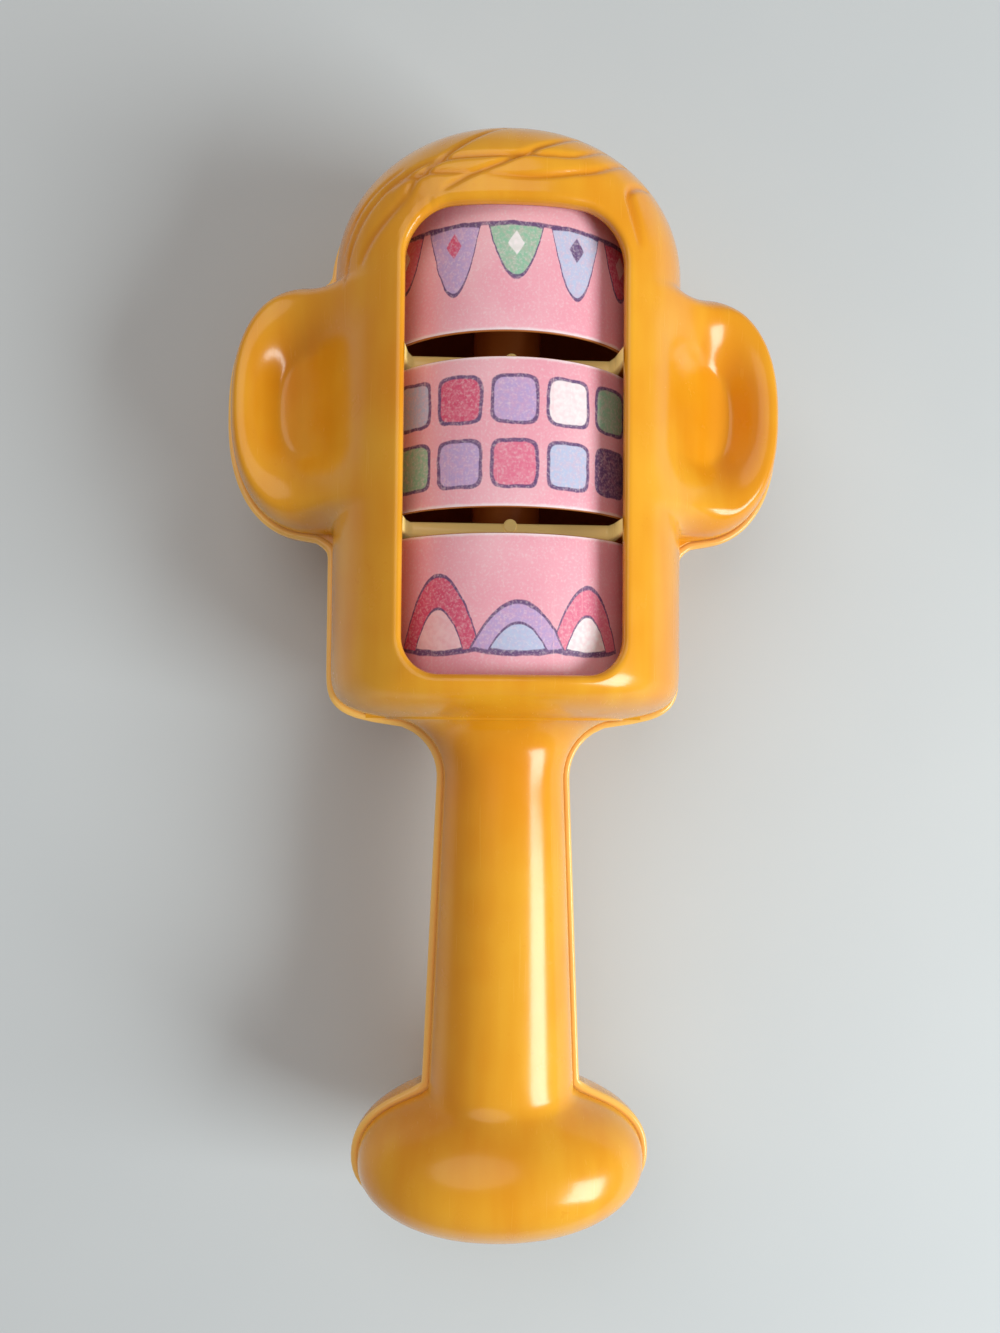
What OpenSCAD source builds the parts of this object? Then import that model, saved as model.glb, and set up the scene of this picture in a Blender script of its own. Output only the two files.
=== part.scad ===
// Rotating face puzzle rattle: two shells, three drums on one axle, loose pellets in the knob.
// The toy lies on its back: +X to the right ear, +Y to the crown, +Z out of the face.
// The origin is under the middle of the toy, on the surface it lies on.

/* [Drums] */
// outside diameter of a moulded drum
drum_d = 46.6; // [44:0.2:49]
// length of a drum along the axle
drum_len = 24; // [22:0.5:26]
// thickness of a drum's outer wall
drum_wall = 1.6; // [1.2:0.1:2.4]
// thickness of the web that carries the drum on its hub
drum_web = 1.6; // [1.2:0.1:2.4]
// depth of the web below the drum's upper end
web_depth = 2; // [1:0.5:6]
// outside diameter of the hub tube
hub_d = 12; // [10:0.5:14]
// how far the hub stands past each end of the drum
hub_proud = 0.4; // [0.2:0.1:0.5]
// thickness of a printed label
label_t = 0.2; // [0.1:0.05:0.4]
// bare drum left beyond each edge of a label
label_margin = 0.4; // [0.2:0.1:1.5]

/* [Axle] */
// diameter of the axle
axle_d = 5; // [4:0.5:6]
// depth of the blind seat for each end of the axle
seat_depth = 4; // [3:0.5:4.5]
// end play of the axle in its seats
axle_play = 0.3; // [0.1:0.1:0.6]
// radial clearance of a hub on the axle
run_clear = 0.05; // [0.02:0.01:0.1]

/* [Head] */
// wall thickness of the front shell
wall = 2.2; // [1.8:0.1:2.6]
// wall thickness of the back shell, lip included
back_wall = 2.8; // [2.6:0.1:3.4]
// room between a label and the front or back wall
drum_room = 1; // [0.8:0.1:1.6]
// room between a label and the side walls
side_room = 4.9; // [3.5:0.1:7]
// gap between a drum and the divider beside it
end_gap = 0.8; // [0.6:0.1:1.2]
// thickness of a divider between two drums
divider_t = 2.4; // [1.8:0.1:3]
// thickness of the walls that hold the axle's ends
end_wall = 5; // [5:0.1:5.6]
// height of the crown above the top drum's bay
crown_h = 14.2; // [13:0.1:18]
// height of the chin below the bottom drum's bay
chin_h = 5.3; // [5.2:0.1:7]
// flat cut off the round of the back, so that the toy lies still
pad_cut = 0.7; // [0.4:0.1:1]

/* [Window] */
// width of the window
window_w = 35.2; // [32:0.2:37]
// drum covered by the rim below the window
cover_below = 1.6; // [1:0.1:3]
// drum covered by the rim above the window
cover_above = 4.8; // [2:0.1:6]
// corner radius at the foot of the window
window_r_low = 6; // [4:0.5:8]
// corner radius at the head of the window
window_r_high = 7.5; // [5:0.5:10]
// how far a divider's front edge lies behind the labels
divider_back = 10.5; // [9:0.5:12]

/* [Ears] */
// how far an ear stands out from the side of the head
ear_reach = 18; // [14:0.2:21]
// height of an ear
ear_h = 42.8; // [38:0.2:46]
// height of an ear's rim above the seam
ear_crest = 8; // [6.5:0.1:10]
// depth of the dish in the front of an ear
ear_dish = 4.8; // [3:0.1:7]

/* [Handle] */
// length from the chin to the widest place of the knob
handle_len = 76.7; // [66:0.1:90]
// width of the handle at the neck
neck_w = 21.4; // [19:0.2:25]
// width of the handle at the knob
handle_w = 25.6; // [22:0.2:30]
// radius of the flare from the handle into the chin
neck_r = 10.5; // [7:0.5:12]
// width of the knob
knob_w = 50.2; // [42:0.2:56]
// thickness of the knob from front to back
knob_d = 38; // [34:0.5:44]
// length of the knob above its widest place
knob_up = 12; // [10:0.2:15]
// length of the knob below its widest place
knob_down = 11.8; // [10:0.2:15]

/* [Seam] */
// how far the back shell stands past the front shell at the seam
lip = 1.3; // [0.8:0.1:1.8]

/* [Pellets] */
// diameter of a rattle pellet
pellet_d = 6; // [5:0.5:7]
// room under a pellet at rest
pellet_room = 0.4; // [0.3:0.1:0.8]

/* [Hidden] */
$fn = 64;
drum_count = 3;
drum_r = drum_d / 2;
label_r = drum_r + label_t;
hub_r = hub_d / 2;
bore_r = axle_d / 2 + run_clear;
seat_clear = 0.05;
glue_gap = 0.02;

// half sizes of the head, and the height of the axle and the seam
head_hw = label_r + side_room + wall;
head_hd = label_r + drum_room + wall;
axle_z = head_hd - pad_cut;

// places along the toy, from the crown down to the foot of the knob
bay_len = drum_len + 2 * end_gap;
bay_pitch = bay_len + divider_t;
stack_len = drum_count * bay_pitch - divider_t;
total_len = crown_h + stack_len + chin_h + handle_len + knob_down + 2 * lip;
crown_y = total_len / 2 - lip;
bay_top = crown_y - crown_h;
bay_foot = bay_top - stack_len;
chin_y = bay_foot - chin_h;
knob_y = chin_y - handle_len;
knob_foot = knob_y - knob_down;
neck_y = chin_y - neck_r;

// where the head's sides and its face start to close in
crown_run = 24.1;
jaw_run = 11.2;
temple_y = crown_y - crown_run;
jaw_y = chin_y + jaw_run;
brow_drop = 2.1;
face_foot_up = 1.9;
brow_y = bay_top - brow_drop;
face_foot_y = bay_foot + face_foot_up;

// exponents of the rounded outlines and cross sections
crown_power = 2.2;
brow_power = 2.28;
jaw_power = 4.5;
chin_power = 2.2;
head_power = 2.4;
handle_power = 2.1;
knob_power = 2.1;
shoulder_power = 2.3;
ear_power = 2.35;
edge_power = 2.2;

// blends: how widely two forms run into each other
ear_blend = 14;
back_blend = 12;
ear_blend_ends = 0.5;
ear_corner = 6;
chin_blend = 8;
knob_blend = 5;
knob_depth_blend = 4;
knob_depth_over = 2;
neck_taper = 6;

// the handle is a little flatter than it is wide
handle_flat = 0.94;

// ears: their middle's place up the stack, their root and their profile
ear_level = 0.602;
ear_root = 3.4;
ear_x = head_hw + ear_root;
ear_y = bay_foot + ear_level * stack_len;
ear_rx = ear_reach - ear_root;
ear_ry = ear_h / 2;
rim_inner = 0.86;
dish_floor = 0.40;
dish_edge = 0.82;
dish_bias = 0.7;
blend_fade = [0.8, 1.05];
root_slope = 3;
outside_fall = 20;

// surface grid: columns across the outside, columns across the hollows, and the ends' closeness
skin_cols = 30;
hollow_cols = 18;
end_trim = 0.999;
ear_rows_out = 2;
ear_rows_in = 4;
least_rise = 0.02;
least_w = 0.001;
halvings = 16;
seam_cut = 1;

// window and dividers
window_foot = bay_foot + end_gap + cover_below;
window_top = bay_top - end_gap - cover_above;
divider_z = axle_z + label_r - divider_back;
divider_ramp_in = 0.9;
divider_ramp_up = 3.2;
window_over = 5;
rib_r = 1.15;
rib_proud = 0.7;
rib_room = 2;

// pellets: one in the middle and a ring round it, a little above the knob's widest place
ring_pellets = 6;
ring_r = pellet_d * 1.08;
pellets_up = 1;

shell_colour = [0.93, 0.62, 0.14];
drum_colour = [0.93, 0.80, 0.62];
label_colour = [0.94, 0.62, 0.70];
axle_colour = [0.55, 0.30, 0.14];
pellet_colour = [0.92, 0.90, 0.84];

// the larger of two values, rounded over where they differ by less than k
function soft_max(a, b, k) = max(a, b) + k * pow(max(1 - abs(a - b) / k, 0), 2) / 4;
// the smaller of two values, rounded in the same way
function soft_min(a, b, k) = -soft_max(-a, -b, k);
// a quarter of a superellipse: 1 at t = 0, falling to 0 at t = 1
function quarter(t, p) = t <= 0 ? 1 : t >= 1 ? 0 : pow(1 - pow(t, p), 1 / p);
// a smooth step from 0 at a to 1 at b
function ease(a, b, t) = let (u = min(max((t - a) / (b - a), 0), 1)) u * u * (3 - 2 * u);

// half width of the head, the handle and the knob at a height y, all grown by an offset
function head_half_w(y, grow) = (head_hw + grow)
    * quarter((y - temple_y) / (crown_y + grow - temple_y), crown_power)
    * quarter((jaw_y - y) / (jaw_y - chin_y + grow), jaw_power);
function grip_half_w(y) = let (t = min(max((neck_y - y) / (neck_y - knob_y - knob_up), 0), 1))
    neck_w / 2 + (handle_w - neck_w) / 2 * t;
function handle_half_w(y, grow) = let (r = neck_r - grow, rise = min(max(y - neck_y, 0), r))
    grip_half_w(y) + grow + r - sqrt(r * r - rise * rise);
function knob_half_w(y, grow) = (knob_w / 2 + grow) * (y > knob_y
    ? quarter((y - knob_y) / (knob_up + grow), shoulder_power)
    : quarter((knob_y - y) / (knob_down + grow), knob_power));
function body_half_w(y, grow) = y > jaw_y ? head_half_w(y, grow)
    : y > neck_y ? max(head_half_w(y, grow), handle_half_w(y, grow))
    : y > knob_y ? soft_max(handle_half_w(y, grow), knob_half_w(y, grow), knob_blend)
    : knob_half_w(y, grow);

// half depth of the same forms on the middle line
function head_half_d(y, grow) = (head_hd + grow)
    * quarter((y - brow_y) / (crown_y + grow - brow_y), brow_power)
    * quarter((face_foot_y - y) / (face_foot_y - chin_y + grow), chin_power);
function handle_half_d(y, grow) = handle_flat * grip_half_w(y) + grow;
function knob_half_d(y, grow) = (knob_d / 2 + grow) * (y > knob_y
    ? quarter((y - knob_y) / (knob_up + knob_depth_over + grow), 2)
    : quarter((knob_y - y) / (knob_down + grow), 2));
function body_half_d(y, grow) = y > jaw_y ? head_half_d(y, grow)
    : y > neck_y ? soft_max(head_half_d(y, grow), handle_half_d(y, grow), chin_blend)
    : y > knob_y ? soft_max(handle_half_d(y, grow), knob_half_d(y, grow), knob_depth_blend)
    : knob_half_d(y, grow);
function section_power(y) = handle_power
    + (head_power - handle_power) * ease(chin_y - neck_taper, chin_y + neck_taper, y)
    - (head_power - handle_power) * ease(temple_y, crown_y - neck_taper, y);

// height of the body and of an ear above the seam, negative outside their outlines
function body_rise(x, y, grow) = let (w = max(body_half_w(y, grow), least_w), p = section_power(y))
    abs(x) < w ? body_half_d(y, grow) * quarter(abs(x) / w, p) : w - abs(x);
function ear_radius(x, y, grow) = pow(
    pow(max(abs(x) - ear_x, 0) / (ear_rx + grow), ear_power)
    + pow(abs(y - ear_y) / (ear_ry + grow), ear_power), 1 / ear_power);
// how far out a place lies on the dish's wall, from 0 at its floor to 1 at its edge
function dish_out(r) = pow(min(max((r - dish_floor) / (dish_edge - dish_floor), 0), 1), dish_bias);
function ear_rise(x, y, grow, dish) = let (r = ear_radius(x, y, grow))
    r < 1 ? (ear_crest + grow) * quarter(1 - (1 - r) / (1 - rim_inner), edge_power)
        - dish * (1 - ease(0, 1, dish_out(r))) : outside_fall * (1 - r);
function by_ear(y) = abs(y - ear_y) < ear_ry + ear_corner;
// height of the skin where the head's side runs into an ear: found by halving, it is where the distance
// out from the head's side and the height over the ear, rounded together, come to nothing
function halve(f, low, high, n) = let (mid = (low + high) / 2)
    n == 0 ? mid : f(mid) < 0 ? halve(f, mid, high, n - 1) : halve(f, low, mid, n - 1);
function eared_rise(x, y, grow, dish) = let (
    w = body_half_w(y, grow), d = body_half_d(y, grow), p = section_power(y),
    ear = ear_rise(x, y, grow, dish),
    blend = dish > 0 ? ear_blend : back_blend,
    k = ear_blend_ends + blend * (1 - ease(blend_fade[0], blend_fade[1], abs(y - ear_y) / ear_ry)),
    gap = function (z) soft_min(abs(x) - w * quarter(z / d, p), z - ear, k))
    halve(gap, 0, d + blend, halvings);
function skin_rise(x, y, grow, dish) = max(least_rise, by_ear(y)
    ? eared_rise(x, y, grow, dish) : body_rise(x, y, grow));
function ear_half_w(y, grow) = let (v = abs(y - ear_y), r = ear_ry + grow)
    v < r ? ear_x + (ear_rx + grow) * quarter(v / r, ear_power) : ear_x - root_slope * (v - r);
function skin_half_w(y, grow) = by_ear(y)
    ? soft_max(body_half_w(y, grow), ear_half_w(y, grow), ear_corner)
    : body_half_w(y, grow);

// rows of the grid between two heights: even, crowded at the start, or crowded at the end
function even(a, b, n) = [for (i = [0:n - 1]) a + (b - a) * i / n];
function crowd_start(a, b, n) = [for (i = [0:n - 1]) a + (b - a) * (1 - cos(90 * i / n))];
function crowd_end(a, b, n) = [for (i = [0:n - 1]) a + (b - a) * sin(90 * i / n)];
function skin_rows(grow) = let (
    foot = knob_y - (knob_down + grow) * end_trim,
    top = temple_y + (crown_y + grow - temple_y) * end_trim,
    shoulder = knob_y + knob_up + grow,
    chin = chin_y - grow,
    ear_low = ear_y - ear_ry - grow,
    ear_top = ear_y + ear_ry + grow)
    concat(crowd_start(foot, knob_y, 7), crowd_end(knob_y, shoulder, 7),
        even(shoulder, neck_y, 5), crowd_end(neck_y, chin, 6), crowd_start(chin, jaw_y, 6),
        even(jaw_y, ear_low - ear_rows_out, 2), even(ear_low - ear_rows_out, ear_low + ear_rows_in, 6),
        even(ear_low + ear_rows_in, ear_top - ear_rows_in, 7),
        even(ear_top - ear_rows_in, ear_top + ear_rows_out, 6),
        crowd_end(ear_top + ear_rows_out, top, 9), [top]);

// points of a cross section of the skin from its left edge to its right; side is 1 for the face, -1 for the back
function skin_points(y, cols, grow, side) = let (w = skin_half_w(y, grow), dish = side > 0 ? ear_dish : 0)
    [for (i = [0:cols]) let (x = w * sin(180 * i / cols - 90))
        [x, y, axle_z + side * (i % cols == 0 ? 0 : skin_rise(x, y, grow, dish))]];
// triangles of a skin's grid of n rows and m columns, with s points to a row
function skin_faces(n, m, s) = [for (j = [0:n - 2], k = [0:m - 2]) let (a = j * s + k, d = a + s)
    each [[a, d, d + 1], [a, d + 1, a + 1]]];
// faces that look outwards on the given side
function turned(faces, side) = side > 0 ? faces : [for (f = faces) [for (i = [len(f) - 1:-1:0]) f[i]]];

// a closed solid between the seam and the skin
module skin_solid(rows, grow, side) {
    n = len(rows);
    m = skin_cols + 1;
    base = [for (j = [0:n - 2]) [j * m, j * m + m - 1, j * m + 2 * m - 1, j * m + m]];
    ends = [[for (k = [0:m - 1]) k], [for (k = [m - 1:-1:0]) (n - 1) * m + k]];
    polyhedron([for (y = rows) each skin_points(y, skin_cols, grow, side)],
        turned(concat(skin_faces(n, m, m), base, ends), side));
}

// a hollow under such a skin: its floor lies past the seam, column under column, because a section
// with an ear isn't convex and its end faces have to split between the columns
module hollow_solid(rows, grow, side) {
    n = len(rows);
    m = hollow_cols + 1;
    s = 2 * m;
    last = (n - 1) * s;
    floor_z = axle_z - side * seam_cut;
    section = function (y) let (top = skin_points(y, hollow_cols, grow, side))
        concat(top, [for (p = top) [p[0], p[1], floor_z]]);
    base = [for (j = [0:n - 2], k = [0:m - 2]) let (a = j * s + m + k) [a, a + 1, a + s + 1, a + s]];
    sides = [for (j = [0:n - 2]) let (a = j * s, b = a + m - 1)
        each [[a, a + m, a + m + s, a + s], [b, b + s, b + m + s, b + m]]];
    ends = [for (k = [0:m - 2]) each [[m + k, k, k + 1, m + k + 1],
        [last + m + k + 1, last + k + 1, last + k, last + m + k]]];
    polyhedron([for (y = rows) each section(y)],
        turned(concat(skin_faces(n, m, s), base, sides, ends), side));
}

// how far a shell's hollow lies inside the front shell's outline
function hollow_grow(side) = side > 0 ? -wall : lip - back_wall;

// the hollows that leave the walls, the dividers and the two end walls standing
module hollows(side) {
    grow = hollow_grow(side);
    for (bay = [0:drum_count - 1]) {
        low = bay_foot + bay * bay_pitch;
        hollow_solid(concat(even(low, low + bay_len, 14), [low + bay_len]), grow, side);
    }
    crown_top = temple_y + (crown_y + grow - temple_y) * end_trim;
    crown_low = bay_top + end_wall;
    hollow_solid(concat(crowd_end(crown_low, crown_top, 6), [crown_top]), grow, side);
    grip_low = knob_y - (knob_down + grow) * end_trim;
    grip_top = bay_foot - end_wall;
    shoulder = knob_y + knob_up + grow;
    hollow_solid(concat(crowd_start(grip_low, knob_y, 6), crowd_end(knob_y, shoulder, 6),
        even(shoulder, neck_y, 4), even(neck_y, grip_top, 6), [grip_top]), grow, side);
}

// a rod along the toy between two heights, on the axle's line
module rod(r, low, high) {
    translate([0, low, axle_z]) rotate([-90, 0, 0]) cylinder(r = r, h = high - low);
}

module axle_seat() {
    rod(axle_d / 2 + seat_clear, bay_foot - seat_depth, bay_top + seat_depth);
}

// outline of the window, with its own radius at the foot and at the head
module window_outline() {
    low = window_r_low;
    high = window_r_high;
    half = window_w / 2;
    translate([-half, window_foot + low]) square([window_w, window_top - window_foot - low - high]);
    translate([-half + low, window_foot]) square([window_w - 2 * low, low * 2]);
    translate([-half + high, window_top - 2 * high]) square([window_w - 2 * high, 2 * high]);
    for (s = [-1, 1]) {
        translate([s * (half - low), window_foot + low]) circle(low);
        translate([s * (half - high), window_top - high]) circle(high);
    }
}

// the window's cut: through the face wall, and down to the dividers' set-back front edges
module window_cut() {
    half = window_w / 2;
    top = axle_z + head_hd + window_over;
    translate([0, 0, divider_z + divider_ramp_up]) linear_extrude(top - divider_z) window_outline();
    span = [bay_foot + bay_len / 2, bay_top - bay_len / 2];
    translate([0, span[1], 0]) rotate([90, 0, 0]) linear_extrude(span[1] - span[0])
        polygon([[-half + divider_ramp_in, divider_z], [half - divider_ramp_in, divider_z],
            [half, divider_z + divider_ramp_up], [half, top], [-half, top], [-half, divider_z + divider_ramp_up]]);
}

// a half-round rib on the upper face of each divider
module divider_ribs() {
    low = axle_z + hub_r + rib_room;
    for (bay = [1:drum_count - 1]) {
        translate([0, bay_foot + bay * bay_pitch - rib_r + rib_proud, low])
            cylinder(r = rib_r, h = divider_z - low);
    }
}

module front_shell() {
    color(shell_colour) union() {
        difference() {
            skin_solid(skin_rows(0), 0, 1);
            hollows(1);
            window_cut();
            axle_seat();
        }
        divider_ribs();
    }
}

module back_shell() {
    color(shell_colour) difference() {
        skin_solid(skin_rows(lip), lip, -1);
        hollows(-1);
        axle_seat();
        translate([-head_hw * 2, -total_len, -head_hd]) cube([head_hw * 4, total_len * 2, head_hd]);
    }
}

module axle() {
    play = axle_play / 2;
    color(axle_colour) rod(axle_d / 2, bay_foot - seat_depth + play, bay_top + seat_depth - play);
}

// foot of the drum in a bay, counted from the chin
function drum_foot(bay) = bay_foot + bay * bay_pitch + end_gap;

// an open-ended drum on a web and a hub tube
module drum(bay) {
    inner = drum_r - drum_wall;
    web_top = drum_len - web_depth;
    web_foot = web_top - drum_web;
    color(drum_colour) translate([0, drum_foot(bay), axle_z]) rotate([-90, 0, 0]) rotate_extrude()
        polygon([[bore_r, -hub_proud], [hub_r, -hub_proud], [hub_r, web_foot], [inner, web_foot], [inner, 0],
            [drum_r, 0], [drum_r, drum_len], [inner, drum_len], [inner, web_top], [hub_r, web_top],
            [hub_r, drum_len + hub_proud], [bore_r, drum_len + hub_proud]]);
}

// a printed sleeve glued round a drum
module label(bay) {
    color(label_colour) translate([0, drum_foot(bay) + label_margin, axle_z]) rotate([-90, 0, 0])
        rotate_extrude() translate([drum_r + glue_gap, 0])
            square([label_t - glue_gap, drum_len - 2 * label_margin]);
}

module bottom_drum() { drum(0); }
module middle_drum() { drum(1); }
module top_drum() { drum(2); }
module bottom_label() { label(0); }
module middle_label() { label(1); }
module top_label() { label(2); }

// height of a pellet's middle when its round just clears the floor of the knob's hollow
function pellet_z(x, y) = let (r = pellet_d / 2) pellet_room
    + max([for (tilt = [0:15:75], a = [0:30:330]) let (d = r * sin(tilt))
        axle_z - skin_rise(x + d * cos(a), y + d * sin(a), hollow_grow(-1), 0) + r * cos(tilt)]);

module pellet(x, y) {
    translate([x, y, pellet_z(x, y)]) sphere(d = pellet_d);
}

module rattle_pellets() {
    middle_y = knob_y + pellets_up;
    color(pellet_colour) {
        pellet(0, middle_y);
        for (i = [0:ring_pellets - 1]) {
            a = 360 * i / ring_pellets;
            pellet(ring_r * cos(a), middle_y + ring_r * sin(a));
        }
    }
}

front_shell();
back_shell();
axle();
top_drum();
middle_drum();
bottom_drum();
top_label();
middle_label();
bottom_label();
rattle_pellets();
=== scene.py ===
"""Looks of a rotating face puzzle rattle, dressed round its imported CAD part.

Sizes are in millimetres in the part's own frame: +X to the right ear, +Y to the crown and +Z out of
the face, with the toy lying on its back. A mesh is scaled to metres when it is made.
"""

import logging
from dataclasses import dataclass, field, replace
from enum import Enum

import bpy
import numpy as np
from bpy.types import Material, Node, NodeSocket, NodeTree, Object
from mathutils import Matrix, Vector


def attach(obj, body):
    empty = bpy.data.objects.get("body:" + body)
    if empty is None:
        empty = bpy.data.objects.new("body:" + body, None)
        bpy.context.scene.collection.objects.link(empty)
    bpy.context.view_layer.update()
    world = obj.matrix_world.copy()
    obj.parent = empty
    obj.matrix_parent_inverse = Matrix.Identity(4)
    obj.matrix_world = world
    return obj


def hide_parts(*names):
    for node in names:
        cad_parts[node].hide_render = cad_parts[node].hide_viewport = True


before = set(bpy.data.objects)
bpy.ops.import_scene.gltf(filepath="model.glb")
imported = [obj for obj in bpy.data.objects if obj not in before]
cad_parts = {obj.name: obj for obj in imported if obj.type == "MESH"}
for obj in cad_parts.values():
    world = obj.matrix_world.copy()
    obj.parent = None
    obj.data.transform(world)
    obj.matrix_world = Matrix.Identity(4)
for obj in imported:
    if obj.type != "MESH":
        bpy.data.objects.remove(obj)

MM = 0.001
TINY = 1e-9
LOG = logging.getLogger("rattle")
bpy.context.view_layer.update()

Array = np.ndarray
Socket = NodeSocket
Pair = tuple[float, float]
Colour = tuple[float, float, float]
Paint = tuple[float, float, float, float]
Profile = tuple[Pair, ...]


def soft_max(a: Array, b: Array, k: float | Array) -> Array:
    """The larger of two values, plus k / 4 times (1 - gap / k) squared where their gap is less than k."""
    return np.maximum(a, b) + k * np.maximum(1 - np.abs(a - b) / k, 0) ** 2 / 4


def quarter(t: Array, p: float | Array) -> Array:
    """A quarter of a superellipse: 1 up to t = 0, then (1 - t to the p) to the 1 / p, and 0 from t = 1."""
    t = np.clip(t, 0, 1)
    return (1 - t**p) ** (1 / p)


def ease(a: float, b: float, t: Array) -> Array:
    """A smooth step, u squared times 3 - 2 u, as u runs from 0 at t = a to 1 at t = b."""
    u = np.clip((t - a) / (b - a), 0, 1)
    return u * u * (3 - 2 * u)


def smooth_path(points: Array, count: int) -> Array:
    """Points on a Catmull-Rom curve: each span is a cubic, parallel at its ends to its neighbours' chord.

    Args:
        points: control points, one row each.
        count: how many points to return.

    Returns:
        Points on the curve, one row each.
    """
    p = np.vstack([2 * points[0] - points[1], points, 2 * points[-1] - points[-2]])
    s = np.linspace(0, len(points) - 1 - TINY, count)
    k = s.astype(int)
    t = (s - k)[:, None]
    a, b, c, d = p[k], p[k + 1], p[k + 2], p[k + 3]
    return b + 0.5 * t * (c - a + t * (2 * a - 5 * b + 4 * c - d + t * (3 * (b - c) + d - a)))


def normals(points: Array, side: float) -> Array:
    """Unit normals of a grid, its column direction crossed with its row direction, up for a side of 1."""
    n = side * np.cross(np.gradient(points, axis=1), np.gradient(points, axis=0))
    return n / np.maximum(np.linalg.norm(n, axis=2, keepdims=True), TINY**2)


def paint(red: int, green: int, blue: int) -> Paint:
    """A colour as it looks on a screen, 0 to 255, as the linear colour that a shader takes.

    Args:
        red: red share.
        green: green share.
        blue: blue share.

    Returns:
        Linear red, green and blue, and 1 for alpha.
    """
    s = np.array([red, green, blue]) / 255
    linear = np.where(s <= 0.04045, s / 12.92, ((s + 0.055) / 1.055) ** 2.4)
    return (*(float(v) for v in linear), 1.0)


class MeshSheet:
    """Grids of points that are collected, welded where they meet, and made into one Blender mesh."""

    WELD_DIGITS = 3

    def __init__(self) -> None:
        """Starts with no grids."""
        self._points: list[Array] = []
        self._quads: list[Array] = []
        self._marks: list[Array] = []
        self._wraps: list[Array] = []
        self._count = 0

    def add(self, points: Array, flip: bool = False, keep: Array | None = None,
            mark: Array | None = None, wrap: Array | None = None) -> None:
        """Adds a grid. A cell's face looks along its column direction crossed with its row direction.

        Args:
            points: rows by columns by 3.
            flip: whether the faces look the other way.
            keep: which cells get a face, or all of them.
            mark: a value for each point, 0 if not given.
            wrap: two texture coordinates for each point, 0 if not given.
        """
        rows, cols = points.shape[:2]
        index = np.arange(rows * cols).reshape(rows, cols) + self._count
        quads = np.stack([index[:-1, :-1], index[:-1, 1:], index[1:, 1:], index[1:, :-1]], axis=-1)
        quads = quads[..., ::-1] if flip else quads
        self._quads.append((quads if keep is None else quads[keep]).reshape(-1, 4))
        self._points.append(points.reshape(-1, 3))
        self._marks.append(np.zeros(rows * cols) if mark is None else mark.ravel())
        self._wraps.append(np.zeros((rows * cols, 2)) if wrap is None else wrap.reshape(-1, 2))
        self._count += rows * cols

    def make(self, name: str) -> Object:
        """Makes the mesh. Points at one place are welded, and a cell with a shared corner is a triangle.

        Args:
            name: name of the object.

        Returns:
            The object, at the origin, with a "mark" attribute and a "wrap" texture map.
        """
        points = np.concatenate(self._points)
        quads = np.concatenate(self._quads)
        places = np.round(points, self.WELD_DIGITS)
        _, first, back = np.unique(places, axis=0, return_index=True, return_inverse=True)
        back = back.ravel()
        faces = back[quads]
        same = faces == np.roll(faces, -1, axis=1)
        whole, thin = ~same.any(axis=1), same.sum(axis=1) == 1
        corners = np.concatenate([quads[whole].ravel(), quads[thin][~same[thin]]])
        used, loops = np.unique(back[corners], return_inverse=True)
        four, three = int(whole.sum()), int(thin.sum())
        starts = np.concatenate([np.arange(four) * 4, four * 4 + np.arange(three) * 3])
        mesh = bpy.data.meshes.new(name)
        mesh.vertices.add(len(used))
        mesh.vertices.foreach_set("co", (points[first[used]] * MM).astype(np.float32).ravel())
        mesh.loops.add(len(loops))
        mesh.loops.foreach_set("vertex_index", loops.astype(np.int32).ravel())
        mesh.polygons.add(four + three)
        mesh.polygons.foreach_set("loop_start", starts.astype(np.int32))
        mesh.update(calc_edges=True)
        marks = mesh.attributes.new("mark", "FLOAT", "POINT")
        marks.data.foreach_set("value", np.concatenate(self._marks)[first[used]].astype(np.float32))
        wraps = mesh.uv_layers.new(name="wrap")
        wraps.uv.foreach_set("vector", np.concatenate(self._wraps)[corners].astype(np.float32).ravel())
        mesh.validate()
        mesh.shade_smooth()
        made = bpy.data.objects.new(name, mesh)
        bpy.context.scene.collection.objects.link(made)
        return made


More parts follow.
